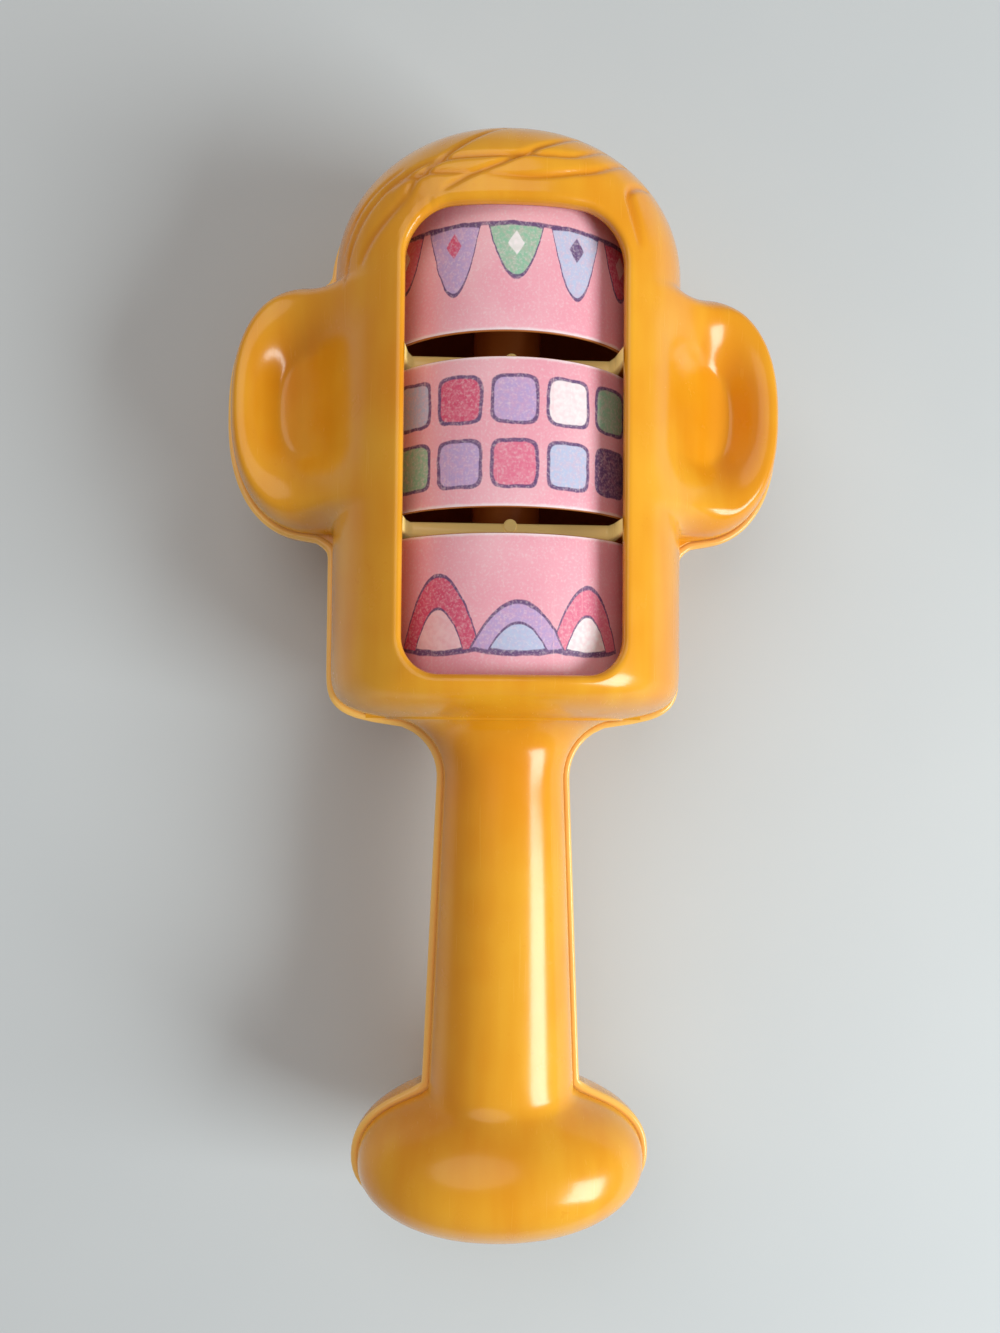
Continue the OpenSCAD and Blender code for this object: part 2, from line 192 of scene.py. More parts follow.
@dataclass(frozen=True)
class ToyForm:
    """The toy's outer form: half widths and half depths along its length, and the height of its skin.

    The skin stands out by the growth from the front shell's, and its ears have dishes of the given depth.
    A power is that of a superellipse quarter, and a join is the width of a rounding between two forms.
    """

    grow: float = 0.0
    dish: float = 0.0
    axle_z: float = 26.0
    head_hw: float = 30.6
    head_hd: float = 26.7
    crown_y: float = 94.8
    temple_y: float = 70.7
    brow_y: float = 78.5
    jaw_y: float = 4.9
    face_foot_y: float = 0.9
    chin_y: float = -6.3
    wide_powers: Pair = (4.5, 2.2)
    deep_powers: Pair = (2.2, 2.28)
    chin_r: float = 8.0
    chin_lift: float = 1.42
    chin_join: float = 0.3
    neck_y: float = -16.8
    neck_w: float = 21.4
    neck_r: float = 10.5
    neck_lift: float = 0.46
    handle_w: float = 25.6
    handle_flat: float = 0.94
    knob_y: float = -83.0
    knob_w: float = 50.2
    knob_d: float = 38.0
    knob_up: float = 12.0
    knob_up_deep: float = 14.0
    knob_down: float = 11.8
    knob_powers: Pair = (2.3, 2.1)
    knob_joins: Pair = (5.0, 4.0)
    section_power: float = 2.1
    head_square: float = 0.3
    square_over: float = 6.0
    ear_x: float = 34.0
    ear_y: float = 48.12
    ear_rx: float = 14.6
    ear_ry: float = 21.4
    ear_power: float = 2.35
    ear_crest: float = 8.0
    ear_fall: float = 20.0
    ear_taper: float = 3.0
    ear_corner: float = 6.0
    ear_blend: float = 14.0
    back_blend: float = 12.0
    blend_least: float = 0.5
    blend_fade: Pair = (0.8, 1.05)
    rim_inner: float = 0.86
    rim_power: float = 2.2
    dish_floor: float = 0.40
    dish_edge: float = 0.82
    dish_bias: float = 0.7
    least: float = 0.001
    halvings: int = 20
    row_samples: int = 6001
    arc_samples: int = 320

    @property
    def foot_y(self) -> float:
        """Height of the knob's foot."""
        return self.knob_y - self.knob_down

    def closed(self, y: Array, full: float, ends: Pair, powers: Pair) -> Array:
        """A size of the head, closed in by a quarter down to the chin and another up to the crown.

        Args:
            y: heights.
            full: the full size.
            ends: where the lower and the upper quarter start.
            powers: powers of the two quarters.

        Returns:
            The size at each height.
        """
        down = quarter((ends[0] - y) / (ends[0] - self.chin_y + self.grow), powers[0])
        up = quarter((y - ends[1]) / (self.crown_y + self.grow - ends[1]), powers[1])
        return (full + self.grow) * up * down

    def grip(self, y: Array) -> Array:
        """Half width of the bare handle, which widens in a straight line from the neck to the knob."""
        t = np.clip((self.neck_y - y) / (self.neck_y - self.knob_y - self.knob_up), 0, 1)
        return self.neck_w / 2 + (self.handle_w - self.neck_w) / 2 * t

    def flare(self, y: Array, radius: float, lift: float) -> Array:
        """How far a hollow quarter circle that ends at the chin stands out from the handle.

        Args:
            y: heights.
            radius: the circle's radius.
            lift: how far above the chin's foot it ends, so that it runs into the head without a ledge.

        Returns:
            r minus the root of r squared less the rise squared, with r the radius less the growth.
        """
        r = radius - self.grow
        rise = np.clip(y - self.chin_y - lift + radius, 0, r)
        return r - np.sqrt(r * r - rise * rise)

    def knob_share(self, y: Array, above: float, powers: Pair) -> Array:
        """Share of the knob's full size: a quarter above its widest place and another below it.

        Args:
            y: heights.
            above: how far the upper quarter reaches.
            powers: powers of the upper and the lower quarter.

        Returns:
            Shares from 0 to 1.
        """
        up = quarter((y - self.knob_y) / (above + self.grow), powers[0])
        down = quarter((self.knob_y - y) / (self.knob_down + self.grow), powers[1])
        return np.where(y > self.knob_y, up, down)

    def stacked(self, y: Array, forms: tuple[Array, ...], join: float) -> Array:
        """Takes each form where it rules: the knob, the knob run into the handle, the neck, and the head.

        Args:
            y: heights.
            forms: sizes of the head, of the neck, of the handle and of the knob.
            join: rounding between the handle and the knob.

        Returns:
            The sizes of the whole.
        """
        head, neck, handle, knob = forms
        low = np.where(y > self.knob_y, soft_max(handle, knob, join), knob)
        low = np.where(y > self.neck_y, neck, low)
        return np.where(y > self.jaw_y, head, low)

    def body_half_width(self, y: Array) -> Array:
        """Half width of head, handle and knob together. The handle flares out into the chin.

        Args:
            y: heights.

        Returns:
            Half widths.
        """
        head = self.closed(y, self.head_hw, (self.jaw_y, self.temple_y), self.wide_powers)
        handle = self.grip(y) + self.grow + self.flare(y, self.neck_r, self.neck_lift)
        knob = (self.knob_w / 2 + self.grow) * self.knob_share(y, self.knob_up, self.knob_powers)
        return self.stacked(y, (head, np.maximum(head, handle), handle, knob), self.knob_joins[0])

    def body_half_depth(self, y: Array) -> Array:
        """Half depth of head, handle and knob on the middle line, joined in the same way.

        Args:
            y: heights.

        Returns:
            Half depths.
        """
        head = self.closed(y, self.head_hd, (self.face_foot_y, self.brow_y), self.deep_powers)
        handle = self.handle_flat * self.grip(y) + self.grow + self.flare(y, self.chin_r, self.chin_lift)
        knob = (self.knob_d / 2 + self.grow) * self.knob_share(y, self.knob_up_deep, (2, 2))
        neck = soft_max(head, handle, self.chin_join)
        return self.stacked(y, (head, neck, handle, knob), self.knob_joins[1])

    def ear_rise(self, x: Array, y: Array) -> Array:
        """Height of an ear: a rounded rim on a superellipse, with a dish sunk into its middle.

        Args:
            x: places across.
            y: heights.

        Returns:
            Heights above the seam, negative outside the ear.
        """
        across = np.maximum(np.abs(x) - self.ear_x, 0) / (self.ear_rx + self.grow)
        along = np.abs(y - self.ear_y) / (self.ear_ry + self.grow)
        r = (across**self.ear_power + along**self.ear_power) ** (1 / self.ear_power)
        rim = quarter((r - self.rim_inner) / (1 - self.rim_inner), self.rim_power)
        rim = (self.ear_crest + self.grow) * rim
        out = np.clip((r - self.dish_floor) / (self.dish_edge - self.dish_floor), 0, 1) ** self.dish_bias
        return np.where(r < 1, rim - self.dish * (1 - ease(0, 1, out)), self.ear_fall * (1 - r))

    def rise(self, x: Array, y: Array) -> Array:
        """Height of the skin above the seam: the body's superellipse section, run into the ears.

        Beside an ear it is found by halving: it is where the distance out from the body's side and the
        height over the ear, rounded together, come to nothing.

        Args:
            x: places across.
            y: heights.

        Returns:
            Heights above the seam.
        """
        out = np.abs(x)
        full = self.body_half_depth(y)
        depth = np.maximum(full, self.least)
        w = np.maximum(self.body_half_width(y), self.least)
        square = ease(self.chin_y - self.square_over, self.chin_y + self.square_over, y)
        power = self.section_power + self.head_square * square
        power = power - self.head_square * ease(self.temple_y, self.crown_y - self.square_over, y)
        body = np.where(out < w, full * quarter(out / w, power), w - out)
        ear = self.ear_rise(x, y)
        off = np.abs(y - self.ear_y)
        blend = self.ear_blend if self.dish > 0 else self.back_blend
        k = self.blend_least + blend * (1 - ease(*self.blend_fade, off / self.ear_ry))
        low, high = np.zeros_like(body), depth + blend + 0 * body
        for _ in range(self.halvings):
            mid = (low + high) / 2
            short = -soft_max(w * quarter(mid / depth, power) - out, ear - mid, k) < 0
            low, high = np.where(short, mid, low), np.where(short, high, mid)
        return np.maximum(0, np.where(off < self.ear_ry + self.ear_corner, (low + high) / 2, body))

    def half_width(self, y: Array) -> Array:
        """Half width of the whole outline at the seam, ears included.

        Args:
            y: heights.

        Returns:
            Half widths.
        """
        v, r = np.abs(y - self.ear_y), self.ear_ry + self.grow
        inside = self.ear_x + (self.ear_rx + self.grow) * quarter(v / r, self.ear_power)
        ear = np.where(v < r, inside, self.ear_x - self.ear_taper * (v - r))
        body = self.body_half_width(y)
        return np.where(v < self.ear_ry + self.ear_corner, soft_max(body, ear, self.ear_corner), body)

    def rows(self, low: float, high: float, count: int) -> Array:
        """Heights between two places, even along the ungrown profile of width and depth together.

        Args:
            low: first height.
            high: last height.
            count: how many steps.

        Returns:
            count + 1 heights.
        """
        bare = replace(self, grow=0.0)
        y = low + (high - low) * (1 - np.cos(np.linspace(0, np.pi, self.row_samples))) / 2
        wide, deep = np.diff(bare.half_width(y)), np.diff(bare.body_half_depth(y))
        s = np.concatenate([[0], np.cumsum(np.sqrt(np.diff(y) ** 2 + wide**2 + deep**2))])
        return np.interp(np.linspace(0, s[-1], count + 1), s, y)

    def columns(self, y: Array, inner: Array, count: int) -> Array:
        """Places from each row's edge in to a given place, even along the arc of the row's own section.

        Args:
            y: the rows' heights.
            inner: where each row's columns end.
            count: how many steps.

        Returns:
            Rows by count + 1 places across, all positive.
        """
        w = self.half_width(y)[:, None]
        x = w - (w - inner[:, None]) * (1 - np.cos(np.linspace(0, np.pi / 2, self.arc_samples)))[None]
        z = self.rise(x, y[:, None])
        z[:, 0] = 0
        s = np.cumsum(np.hypot(np.diff(x, axis=1), np.diff(z, axis=1)), axis=1)
        s = np.concatenate([np.zeros((len(y), 1)), s], axis=1)
        s = s / np.maximum(s[:, -1:], TINY)
        lane = 2.0 * np.arange(len(y))[:, None]
        want = np.linspace(0, 1, count + 1)[None] + lane
        return np.interp(want.ravel(), (s + lane).ravel(), x.ravel()).reshape(len(y), count + 1)


@dataclass(frozen=True)
class HairGroove:
    """A groove between two locks of the moulded hair, by a few points of its path in plan."""

    path: Profile
    depth: float = 0.6
    width: float = 0.55
    lock: float = 0.42
    lock_reach: float = 3.4
    lock_step: float = 0.5
    end_power: float = 0.4
    samples: int = 90

    def cut(self, spots: Array, form: ToyForm, side: float) -> tuple[Array, Array]:
        """What the groove does to a skin: a narrow trough, and a lock that swells on one side of it.

        The trough is a bell of the distance from the path. The lock is a wider bell, stepped from 0 to 1
        across the path. Both fade out at the path's ends.

        Args:
            spots: points of the skin, one row each.
            form: the toy's form, without dishes.
            side: 1 for the face and -1 for the back.

        Returns:
            The height to add along the normal, and a mark that is 1 at the bottom of the groove.
        """
        line = smooth_path(np.array(self.path), self.samples)
        z = form.axle_z + side * form.rise(line[:, 0], line[:, 1])
        line = np.column_stack([line, z])
        gap = ((spots[:, None, :] - line[None]) ** 2).sum(axis=2)
        best = gap.argmin(axis=1)
        off = np.sqrt(gap[np.arange(len(spots)), best])
        run, away = np.gradient(line, axis=0)[best], spots - line[best]
        hand = np.sign(run[:, 0] * away[:, 1] - run[:, 1] * away[:, 0])
        fade = np.sin(np.pi * best / (len(line) - 1)) ** self.end_power
        trough = np.exp(-((off / self.width) ** 2))
        lock = (0.5 + 0.5 * np.tanh(hand * off / self.lock_step)) * np.exp(-((off / self.lock_reach) ** 2))
        return fade * self.depth * (self.lock * lock - trough), fade * trough


HAIR_LOW = 28.0


class HairSide(Enum):
    """The grooves of the face side and of the back."""

    FACE = (
        HairGroove(((-1.5, 90.1), (-5.3, 87.6), (-8.7, 85.2), (-11.3, 83.2), (-13.8, 81.2), (-15.9, 79.4),
                    (-17.3, 77.0))),
        HairGroove(((10.5, 88.9), (6.4, 86.1), (3.4, 84.4), (0.9, 82.9), (-2.6, 81.1), (-5.7, 79.9),
                    (-8.8, 78.5), (-11.9, 76.9))),
        HairGroove(((15.0, 87.4), (9.9, 83.8), (5.0, 82.9), (0.9, 82.8), (-2.9, 82.6), (-6.6, 82.5),
                    (-9.7, 82.4), (-12.3, 82.0), (-14.8, 81.0))),
        HairGroove(((18.5, 85.8), (13.1, 81.7), (8.1, 80.0), (3.3, 79.1), (-1.3, 79.0), (-5.4, 79.4))),
        HairGroove(((-5.7, 79.9), (-9.4, 79.7), (-12.5, 80.0), (-15.1, 80.1), (-18.0, 79.8),
                    (-20.2, 78.4)), 0.45),
        HairGroove(((-12.6, 82.8), (-15.1, 82.1), (-17.7, 80.9), (-20.3, 79.4), (-22.6, 77.5), (-24.6, 75.2),
                    (-26.3, 72.3), (-27.4, 69.3), (-27.8, 65.1)), 0.6, 0.5),
        HairGroove(((-18.0, 82.4), (-21.0, 80.9), (-23.7, 79.1), (-25.7, 76.8), (-27.1, 74.4),
                    (-28.3, 71.7)), 0.5),
        HairGroove(((-16.9, 77.3), (-20.1, 74.4), (-22.4, 72.1), (-24.1, 69.8), (-25.1, 67.6)), 0.4, 0.7),
        HairGroove(((22.3, 82.2), (20.5, 81.5), (18.8, 80.2), (18.1, 78.7), (18.6, 76.5), (19.4, 73.5),
                    (20.2, 70.5)), 0.6, 0.6),
    )
    BACK = (
        HairGroove(((-3.0, 91.0), (-11.0, 86.0), (-19.0, 79.0), (-25.0, 70.0), (-28.0, 60.0))),
        HairGroove(((1.0, 89.0), (-8.0, 82.0), (-15.0, 73.0), (-20.0, 62.0), (-23.0, 50.0)), 0.6, 0.8),
        HairGroove(((5.0, 90.0), (10.0, 85.0), (17.0, 77.0), (22.0, 67.0), (25.0, 55.0))),
        HairGroove(((3.0, 86.0), (11.0, 79.0), (15.0, 69.0), (18.0, 56.0), (20.0, 44.0)), 0.6, 0.8),
        HairGroove(((12.0, 88.0), (20.0, 82.0), (26.0, 73.0), (28.5, 63.0)), 0.5, 0.7),
        HairGroove(((-9.0, 89.5), (-18.0, 84.5), (-25.5, 76.0)), 0.45),
        HairGroove(((-12.0, 80.0), (-12.5, 66.0), (-14.0, 52.0), (-16.0, 38.0)), 0.5, 0.8),
        HairGroove(((13.0, 74.0), (13.0, 60.0), (14.5, 46.0), (16.5, 34.0)), 0.5, 0.8),
    )

    def dress(self, skin: Array, form: ToyForm, side: float, fade: float) -> tuple[Array, Array]:
        """Moves a skin along its normals by what all the grooves add, fading out near the seam.

        Args:
            skin: points of the skin, rows by columns by 3.
            form: the toy's form.
            side: 1 for the face and -1 for the back.
            fade: distance from the seam at which the relief is full.

        Returns:
            The moved points, and a mark that is 1 at the bottom of a groove.
        """
        flat = skin.reshape(-1, 3)
        near = flat[:, 1] > HAIR_LOW
        bare = replace(form, dish=0.0)
        cuts = [groove.cut(flat[near], bare, side) for groove in self.value]
        height, mark = np.zeros(len(flat)), np.zeros(len(flat))
        height[near] = np.sum([c[0] for c in cuts], axis=0)
        mark[near] = np.max([c[1] for c in cuts], axis=0)
        height, mark = height.reshape(skin.shape[:2]), mark.reshape(skin.shape[:2])
        height = height * ease(0, fade, side * (skin[..., 2] - form.axle_z))
        return skin + normals(skin, side) * height[..., None], mark


class Sheet:
    """A node tree with short calls for the nodes that the finishes use."""

    MIX_INPUTS = (0, 6, 7)
    MIX_RESULT = 2

    def __init__(self, tree: NodeTree) -> None:
        """Wraps a tree."""
        self.tree = tree

    def node(self, kind: str, feeds: dict | None = None, **settings: object) -> Node:
        """Adds a node.

        Args:
            kind: the node's type.
            feeds: values or links for its inputs, by name or number.
            settings: values of its own properties.

        Returns:
            The node.
        """
        made = self.tree.nodes.new(kind)
        for name, value in settings.items():
            setattr(made, name, value)
        for name, value in (feeds or {}).items():
            self.feed(made.inputs[name], value)
        return made

    def feed(self, socket: Socket, value: object) -> None:
        """Links a socket to another one, or sets its value.

        Args:
            socket: the input.
            value: an output to link from, or a plain value.
        """
        if isinstance(value, Socket):
            self.tree.links.new(value, socket)
        else:
            socket.default_value = value

    def math(self, operation: str, *values: object, clamp: bool = False) -> Socket:
        """Works out a few values or links, and clamps the result to 0 and 1 if asked."""
        feeds = dict(enumerate(values))
        return self.node("ShaderNodeMath", feeds, operation=operation, use_clamp=clamp).outputs[0]

    def plus(self, a: object, b: object) -> Socket:
        """A sum."""
        return self.math("ADD", a, b)

    def minus(self, a: object, b: object) -> Socket:
        """A difference."""
        return self.math("SUBTRACT", a, b)

    def times(self, a: object, b: object) -> Socket:
        """A product."""
        return self.math("MULTIPLY", a, b)

    def over(self, a: object, b: object) -> Socket:
        """A quotient."""
        return self.math("DIVIDE", a, b)

    def step(self, value: object, low: object, high: object) -> Socket:
        """A smooth step of a value, from 0 at low to 1 at high."""
        feeds = {"Value": value, "From Min": low, "From Max": high}
        return self.node("ShaderNodeMapRange", feeds, interpolation_type="SMOOTHSTEP").outputs["Result"]

    def mix(self, share: object, a: object, b: object) -> Socket:
        """A mix of two colours, with a share of the second."""
        feeds = dict(zip(self.MIX_INPUTS, (share, a, b)))
        return self.node("ShaderNodeMix", feeds, data_type="RGBA").outputs[self.MIX_RESULT]

    def noise(self, place: object, scale: float, detail: float = 2.0, rough: float = 0.5) -> Socket:
        """A noise about 0.5: its waves to a unit, its octaves, and how strong the finer ones are."""
        feeds = {"Vector": place, "Scale": scale, "Detail": detail, "Roughness": rough}
        return self.node("ShaderNodeTexNoise", feeds).outputs["Fac"]

    def mapped(self, place: object, scale: Colour, turn: Colour = (0.0, 0.0, 0.0)) -> Socket:
        """Coordinates that are scaled on each axis and turned about each, in radians."""
        feeds = {"Vector": place, "Scale": scale, "Rotation": turn}
        return self.node("ShaderNodeMapping", feeds).outputs["Vector"]

    def place(self) -> Socket:
        """The piece's own coordinates."""
        return self.node("ShaderNodeTexCoord").outputs["Object"]

    def bump(self, shader: Node, height: Socket, strength: float, distance: float) -> None:
        """Feeds a shader's normal from a height, with bumps of a strength and a height in metres."""
        feeds = {"Strength": strength, "Distance": distance, "Height": height}
        self.feed(shader.inputs["Normal"], self.node("ShaderNodeBump", feeds).outputs["Normal"])

    def group(self, kit: NodeTree, **values: object) -> Node:
        """Places a node group and feeds its inputs, with _ for a space in a name."""
        feeds = {name.replace("_", " "): value for name, value in values.items()}
        return self.node("ShaderNodeGroup", feeds, node_tree=kit)


def new_material(name: str) -> tuple[Material, Sheet, Node]:
    """Starts a material.

    Args:
        name: its name.

    Returns:
        The material, a sheet on its node tree, and its shader.
    """
    made = bpy.data.materials.new(name)
    made.use_nodes = True
    return made, Sheet(made.node_tree), made.node_tree.nodes["Principled BSDF"]


def new_group(name: str, takes: tuple[str, ...], gives: tuple[str, ...]) -> tuple[Sheet, dict, dict]:
    """Starts a shader node group with named sockets, each of them a value apart from a vector named Place.

    Args:
        name: the group's name.
        takes: its inputs' names.
        gives: its outputs' names.

    Returns:
        A sheet on the group, its inputs inside the group, and its outputs' sockets to feed.
    """
    tree = bpy.data.node_groups.new(name, "ShaderNodeTree")
    for way, names in (("INPUT", takes), ("OUTPUT", gives)):
        for socket in names:
            kind = "NodeSocketVector" if socket == "Place" else "NodeSocketFloat"
            tree.interface.new_socket(name=socket, in_out=way, socket_type=kind)
    sheet = Sheet(tree)
    source, sink = sheet.node("NodeGroupInput"), sheet.node("NodeGroupOutput")
    return sheet, {k: source.outputs[k] for k in takes}, {k: sink.inputs[k] for k in gives}


class Effects:
    """The shared effects, each a shader node group that is built once. Scales are waves to a metre."""

    SHAPE_TAKES = ("X", "Y", "Panel", "Centre X", "Centre Y", "Half Width", "Line")
    SHAPE_GIVES = ("Fill", "Edge")
    MOTTLE_SCALE = 38.0
    FLOW_SCALE = (260.0, 34.0, 120.0)
    TONE_SHARES = (0.7, 0.3)
    GLOSS_SCALE = 210.0
    GLOSS_DETAIL = (4.0, 0.6)
    PEEL_SCALE = 1450.0
    WAVE_SCALE = 160.0
    WAVE_SHARE = 0.35
    CLUMP_SCALE = 90.0
    CLUMP_RANGE = (0.52, 0.7)
    DOT_SCALE = 950.0
    DOT_RANGE = (0.66, 0.74)
    SCRATCH_SCALE = (1900.0, 55.0, 700.0)
    SCRATCH_TURN = (0.3, 0.2, 0.5)
    SCRATCH_RANGE = (0.69, 0.75)
    FILL_SOFT = 0.12
    LINE_SOFT = 0.1
    LEAST_LINE = 0.01
    LENS_SLOPE = 0.85

    def __init__(self) -> None:
        """Builds the groups."""
        self.moulding = self._moulding()
        self.scuffs = self._scuffs()
        self.patch = self._patch()
        self.lens = self._lens()

    def _moulding(self) -> NodeTree:
        """The skin of moulded plastic: slow mottling, faint flow marks and a fine orange peel.

        Returns:
            The group.
        """
        sheet, takes, gives = new_group("moulded_skin", ("Place", "Peel"), ("Tone", "Gloss", "Height"))
        place = takes["Place"]
        slow = sheet.times(sheet.noise(place, self.MOTTLE_SCALE, 3.0), self.TONE_SHARES[0])
        flow = sheet.times(sheet.noise(sheet.mapped(place, self.FLOW_SCALE), 1.0), self.TONE_SHARES[1])
        sheet.feed(gives["Tone"], sheet.plus(slow, flow))
        sheet.feed(gives["Gloss"], sheet.noise(place, self.GLOSS_SCALE, *self.GLOSS_DETAIL))
        peel = sheet.times(sheet.noise(place, self.PEEL_SCALE), takes["Peel"])
        wave = sheet.times(sheet.noise(place, self.WAVE_SCALE, 1.0), self.WAVE_SHARE)
        sheet.feed(gives["Height"], sheet.plus(peel, wave))
        return sheet.tree

    def _scuffs(self) -> NodeTree:
        """Marks of use: small specks, and hair scratches that run along the toy.

        Returns:
            The group.
        """
        sheet, takes, gives = new_group("scuffs", ("Place", "Amount"), ("Specks", "Scratches"))
        place = takes["Place"]
        clump = sheet.step(sheet.noise(place, self.CLUMP_SCALE), *self.CLUMP_RANGE)
        dots = sheet.step(sheet.noise(place, self.DOT_SCALE, 1.0), *self.DOT_RANGE)
        sheet.feed(gives["Specks"], sheet.times(sheet.times(clump, dots), takes["Amount"]))
        line = sheet.mapped(place, self.SCRATCH_SCALE, self.SCRATCH_TURN)
        thin = sheet.step(sheet.noise(line, 1.0, 1.0), *self.SCRATCH_RANGE)
        sheet.feed(gives["Scratches"], sheet.times(thin, takes["Amount"]))
        return sheet.tree

    def _patch(self) -> NodeTree:
        """A printed superellipse: its fill, and a line of even width round it.

        Returns:
            The group.
        """
        names = (*self.SHAPE_TAKES, "Half Height", "Corner")
        sheet, takes, gives = new_group("printed_patch", names, self.SHAPE_GIVES)
        corner = takes["Corner"]
        across = sheet.math("ABSOLUTE", sheet.minus(takes["X"], takes["Centre X"]))
        along = sheet.math("ABSOLUTE", sheet.minus(takes["Y"], takes["Centre Y"]))
        a = sheet.math("POWER", sheet.over(across, takes["Half Width"]), corner)
        b = sheet.math("POWER", sheet.over(along, takes["Half Height"]), corner)
        ratio = sheet.math("POWER", sheet.plus(a, b), sheet.over(1.0, corner))
        size = sheet.math("MINIMUM", takes["Half Width"], takes["Half Height"])
        self._ink(sheet, takes, gives, sheet.times(sheet.minus(ratio, 1.0), size))
        return sheet.tree

    def _lens(self) -> NodeTree:
        """A printed lens between two parabolas through the same two corners.

        Returns:
            The group.
        """
        names = (*self.SHAPE_TAKES, "Up", "Down")
        sheet, takes, gives = new_group("printed_lens", names, self.SHAPE_GIVES)
        across = sheet.over(sheet.minus(takes["X"], takes["Centre X"]), takes["Half Width"])
        along = sheet.minus(takes["Y"], takes["Centre Y"])
        bulge = sheet.minus(1.0, sheet.times(across, across))
        top = sheet.minus(along, sheet.times(takes["Up"], bulge))
        foot = sheet.minus(sheet.times(takes["Down"], sheet.times(bulge, -1.0)), along)
        self._ink(sheet, takes, gives, sheet.times(sheet.math("MAXIMUM", top, foot), self.LENS_SLOPE))
        return sheet.tree

    def _ink(self, sheet: Sheet, takes: dict, gives: dict, away: Socket) -> None:
        """Fills where the distance is negative and draws a line where it is near 0, on one panel alone.

        Args:
            sheet: the group's sheet.
            takes: its inputs.
            gives: its outputs.
            away: distance outside the shape.
        """
        fill = sheet.step(sheet.times(away, -1.0), -self.FILL_SOFT, self.FILL_SOFT)
        near = sheet.minus(takes["Line"], sheet.math("ABSOLUTE", away))
        drawn = sheet.math("GREATER_THAN", takes["Line"], self.LEAST_LINE)
        edge = sheet.times(sheet.step(near, -self.LINE_SOFT, self.LINE_SOFT), drawn)
        sheet.feed(gives["Fill"], sheet.times(fill, takes["Panel"]))
        sheet.feed(gives["Edge"], sheet.times(edge, takes["Panel"]))


@dataclass(frozen=True)
class MouldedPlastic:
    """A moulded plastic: its colour and darker and paler tones, gloss, and marks of use.

    A positive mark on the mesh is a groove, darkened towards the deep tone as painted shade. A negative one
    is a thin edge, painted paler and made to glow as painted light for light that comes through the plastic.
    """

    name: str
    colour: Paint
    deep: Paint
    pale: Paint
    rough: float = 0.3
    coat: float = 0.3
    coat_rough: float = 0.05
    shine: float = 0.5
    ior: float = 1.5
    # painted light: thin edges take this pale colour and glow by painted_glow, standing for light that comes
    # through the plastic
    thin: Paint = paint(246, 212, 134)
    painted_glow: float = 0.0
    peel: float = 0.25
    bump: float = 0.00006
    bump_strength: float = 0.6
    wear: float = 0.5
    tone_range: Pair = (0.32, 0.68)
    plain: float = 0.55
    groove_shade_share: float = 0.6
    rub_share: float = 0.22
    rub_rough: float = 0.6
    dirt_share: float = 0.35
    gloss_swing: float = 0.22

    def build(self, effects: Effects) -> Material:
        """Builds the material.

        Args:
            effects: the shared effects.

        Returns:
            The material.
        """
        made, sheet, shader = new_material(self.name)
        place = sheet.place()
        mark = sheet.node("ShaderNodeAttribute", attribute_name="mark").outputs["Fac"]
        skin = sheet.group(effects.moulding, Place=place, Peel=self.peel).outputs
        marks = sheet.group(effects.scuffs, Place=place, Amount=self.wear).outputs
        # painted shade: the colour darkens towards the deep tone at the bottom of the hair grooves
        groove = sheet.math("MULTIPLY", mark, self.groove_shade_share, clamp=True)
        # edge: share of painted glow on thin edges, from the negative mark
        edge = sheet.math("MULTIPLY", mark, -1.0, clamp=True)
        rub = sheet.times(marks["Scratches"], self.rub_share)
        colour = sheet.mix(sheet.step(skin["Tone"], *self.tone_range), self.deep, self.pale)
        # layers: plain colour, painted shade in grooves, painted glow on thin edges, rubbed wear and dirt
        # specks
        layers = ((self.plain, self.colour), (groove, self.deep), (edge, self.thin), (rub, self.pale),
                  (sheet.times(marks["Specks"], self.dirt_share), self.deep))
        for share, tone in layers:
            colour = sheet.mix(share, colour, tone)
        sheet.feed(shader.inputs["Base Color"], colour)
        swing = sheet.times(sheet.minus(skin["Gloss"], 0.5), self.gloss_swing)
        worn = sheet.times(rub, self.rub_rough)
        rough = sheet.math("ADD", sheet.plus(swing, self.rough), worn, clamp=True)
        sheet.feed(shader.inputs["Roughness"], rough)
        # painted glow: thin edges give off their pale colour as emission, as if lit through
        sheet.feed(shader.inputs["Emission Color"], sheet.mix(edge, paint(0, 0, 0), self.thin))
        sheet.bump(shader, skin["Height"], self.bump_strength, self.bump)
        shader.inputs["IOR"].default_value = self.ior
        shader.inputs["Specular IOR Level"].default_value = self.shine
        shader.inputs["Coat Weight"].default_value = self.coat
        shader.inputs["Coat Roughness"].default_value = self.coat_rough
        shader.inputs["Emission Strength"].default_value = self.painted_glow
        return made


class Ink(Enum):
    """The inks of the printed labels."""

    GROUND = paint(243, 164, 183)
    PALE = paint(250, 205, 214)
    BLUSH = paint(232, 118, 150)
    HOT = paint(216, 78, 118)
    VIOLET = paint(104, 74, 122)
    LAVENDER = paint(192, 164, 214)
    BLUE = paint(190, 200, 232)
    MINT = paint(146, 196, 168)
    WHITE = paint(250, 240, 244)


@dataclass(frozen=True)
class Patch:
    """A plain printed superellipse, from a diamond (corner 1) over a disc (2) to a soft square (4)."""

    panel: int
    x: float
    y: float
    half_w: float
    half_h: float
    fill: Ink
    corner: float = 2.0
    line: float = 0.28

    def place(self, sheet: Sheet, effects: Effects, **where: object) -> Node:
        """Places the shape's group on a label, at the label's coordinates and panel mask."""
        return sheet.group(effects.patch, Centre_X=self.x, Centre_Y=self.y, Half_Width=self.half_w,
                           Half_Height=self.half_h, Corner=self.corner, Line=self.line, **where)


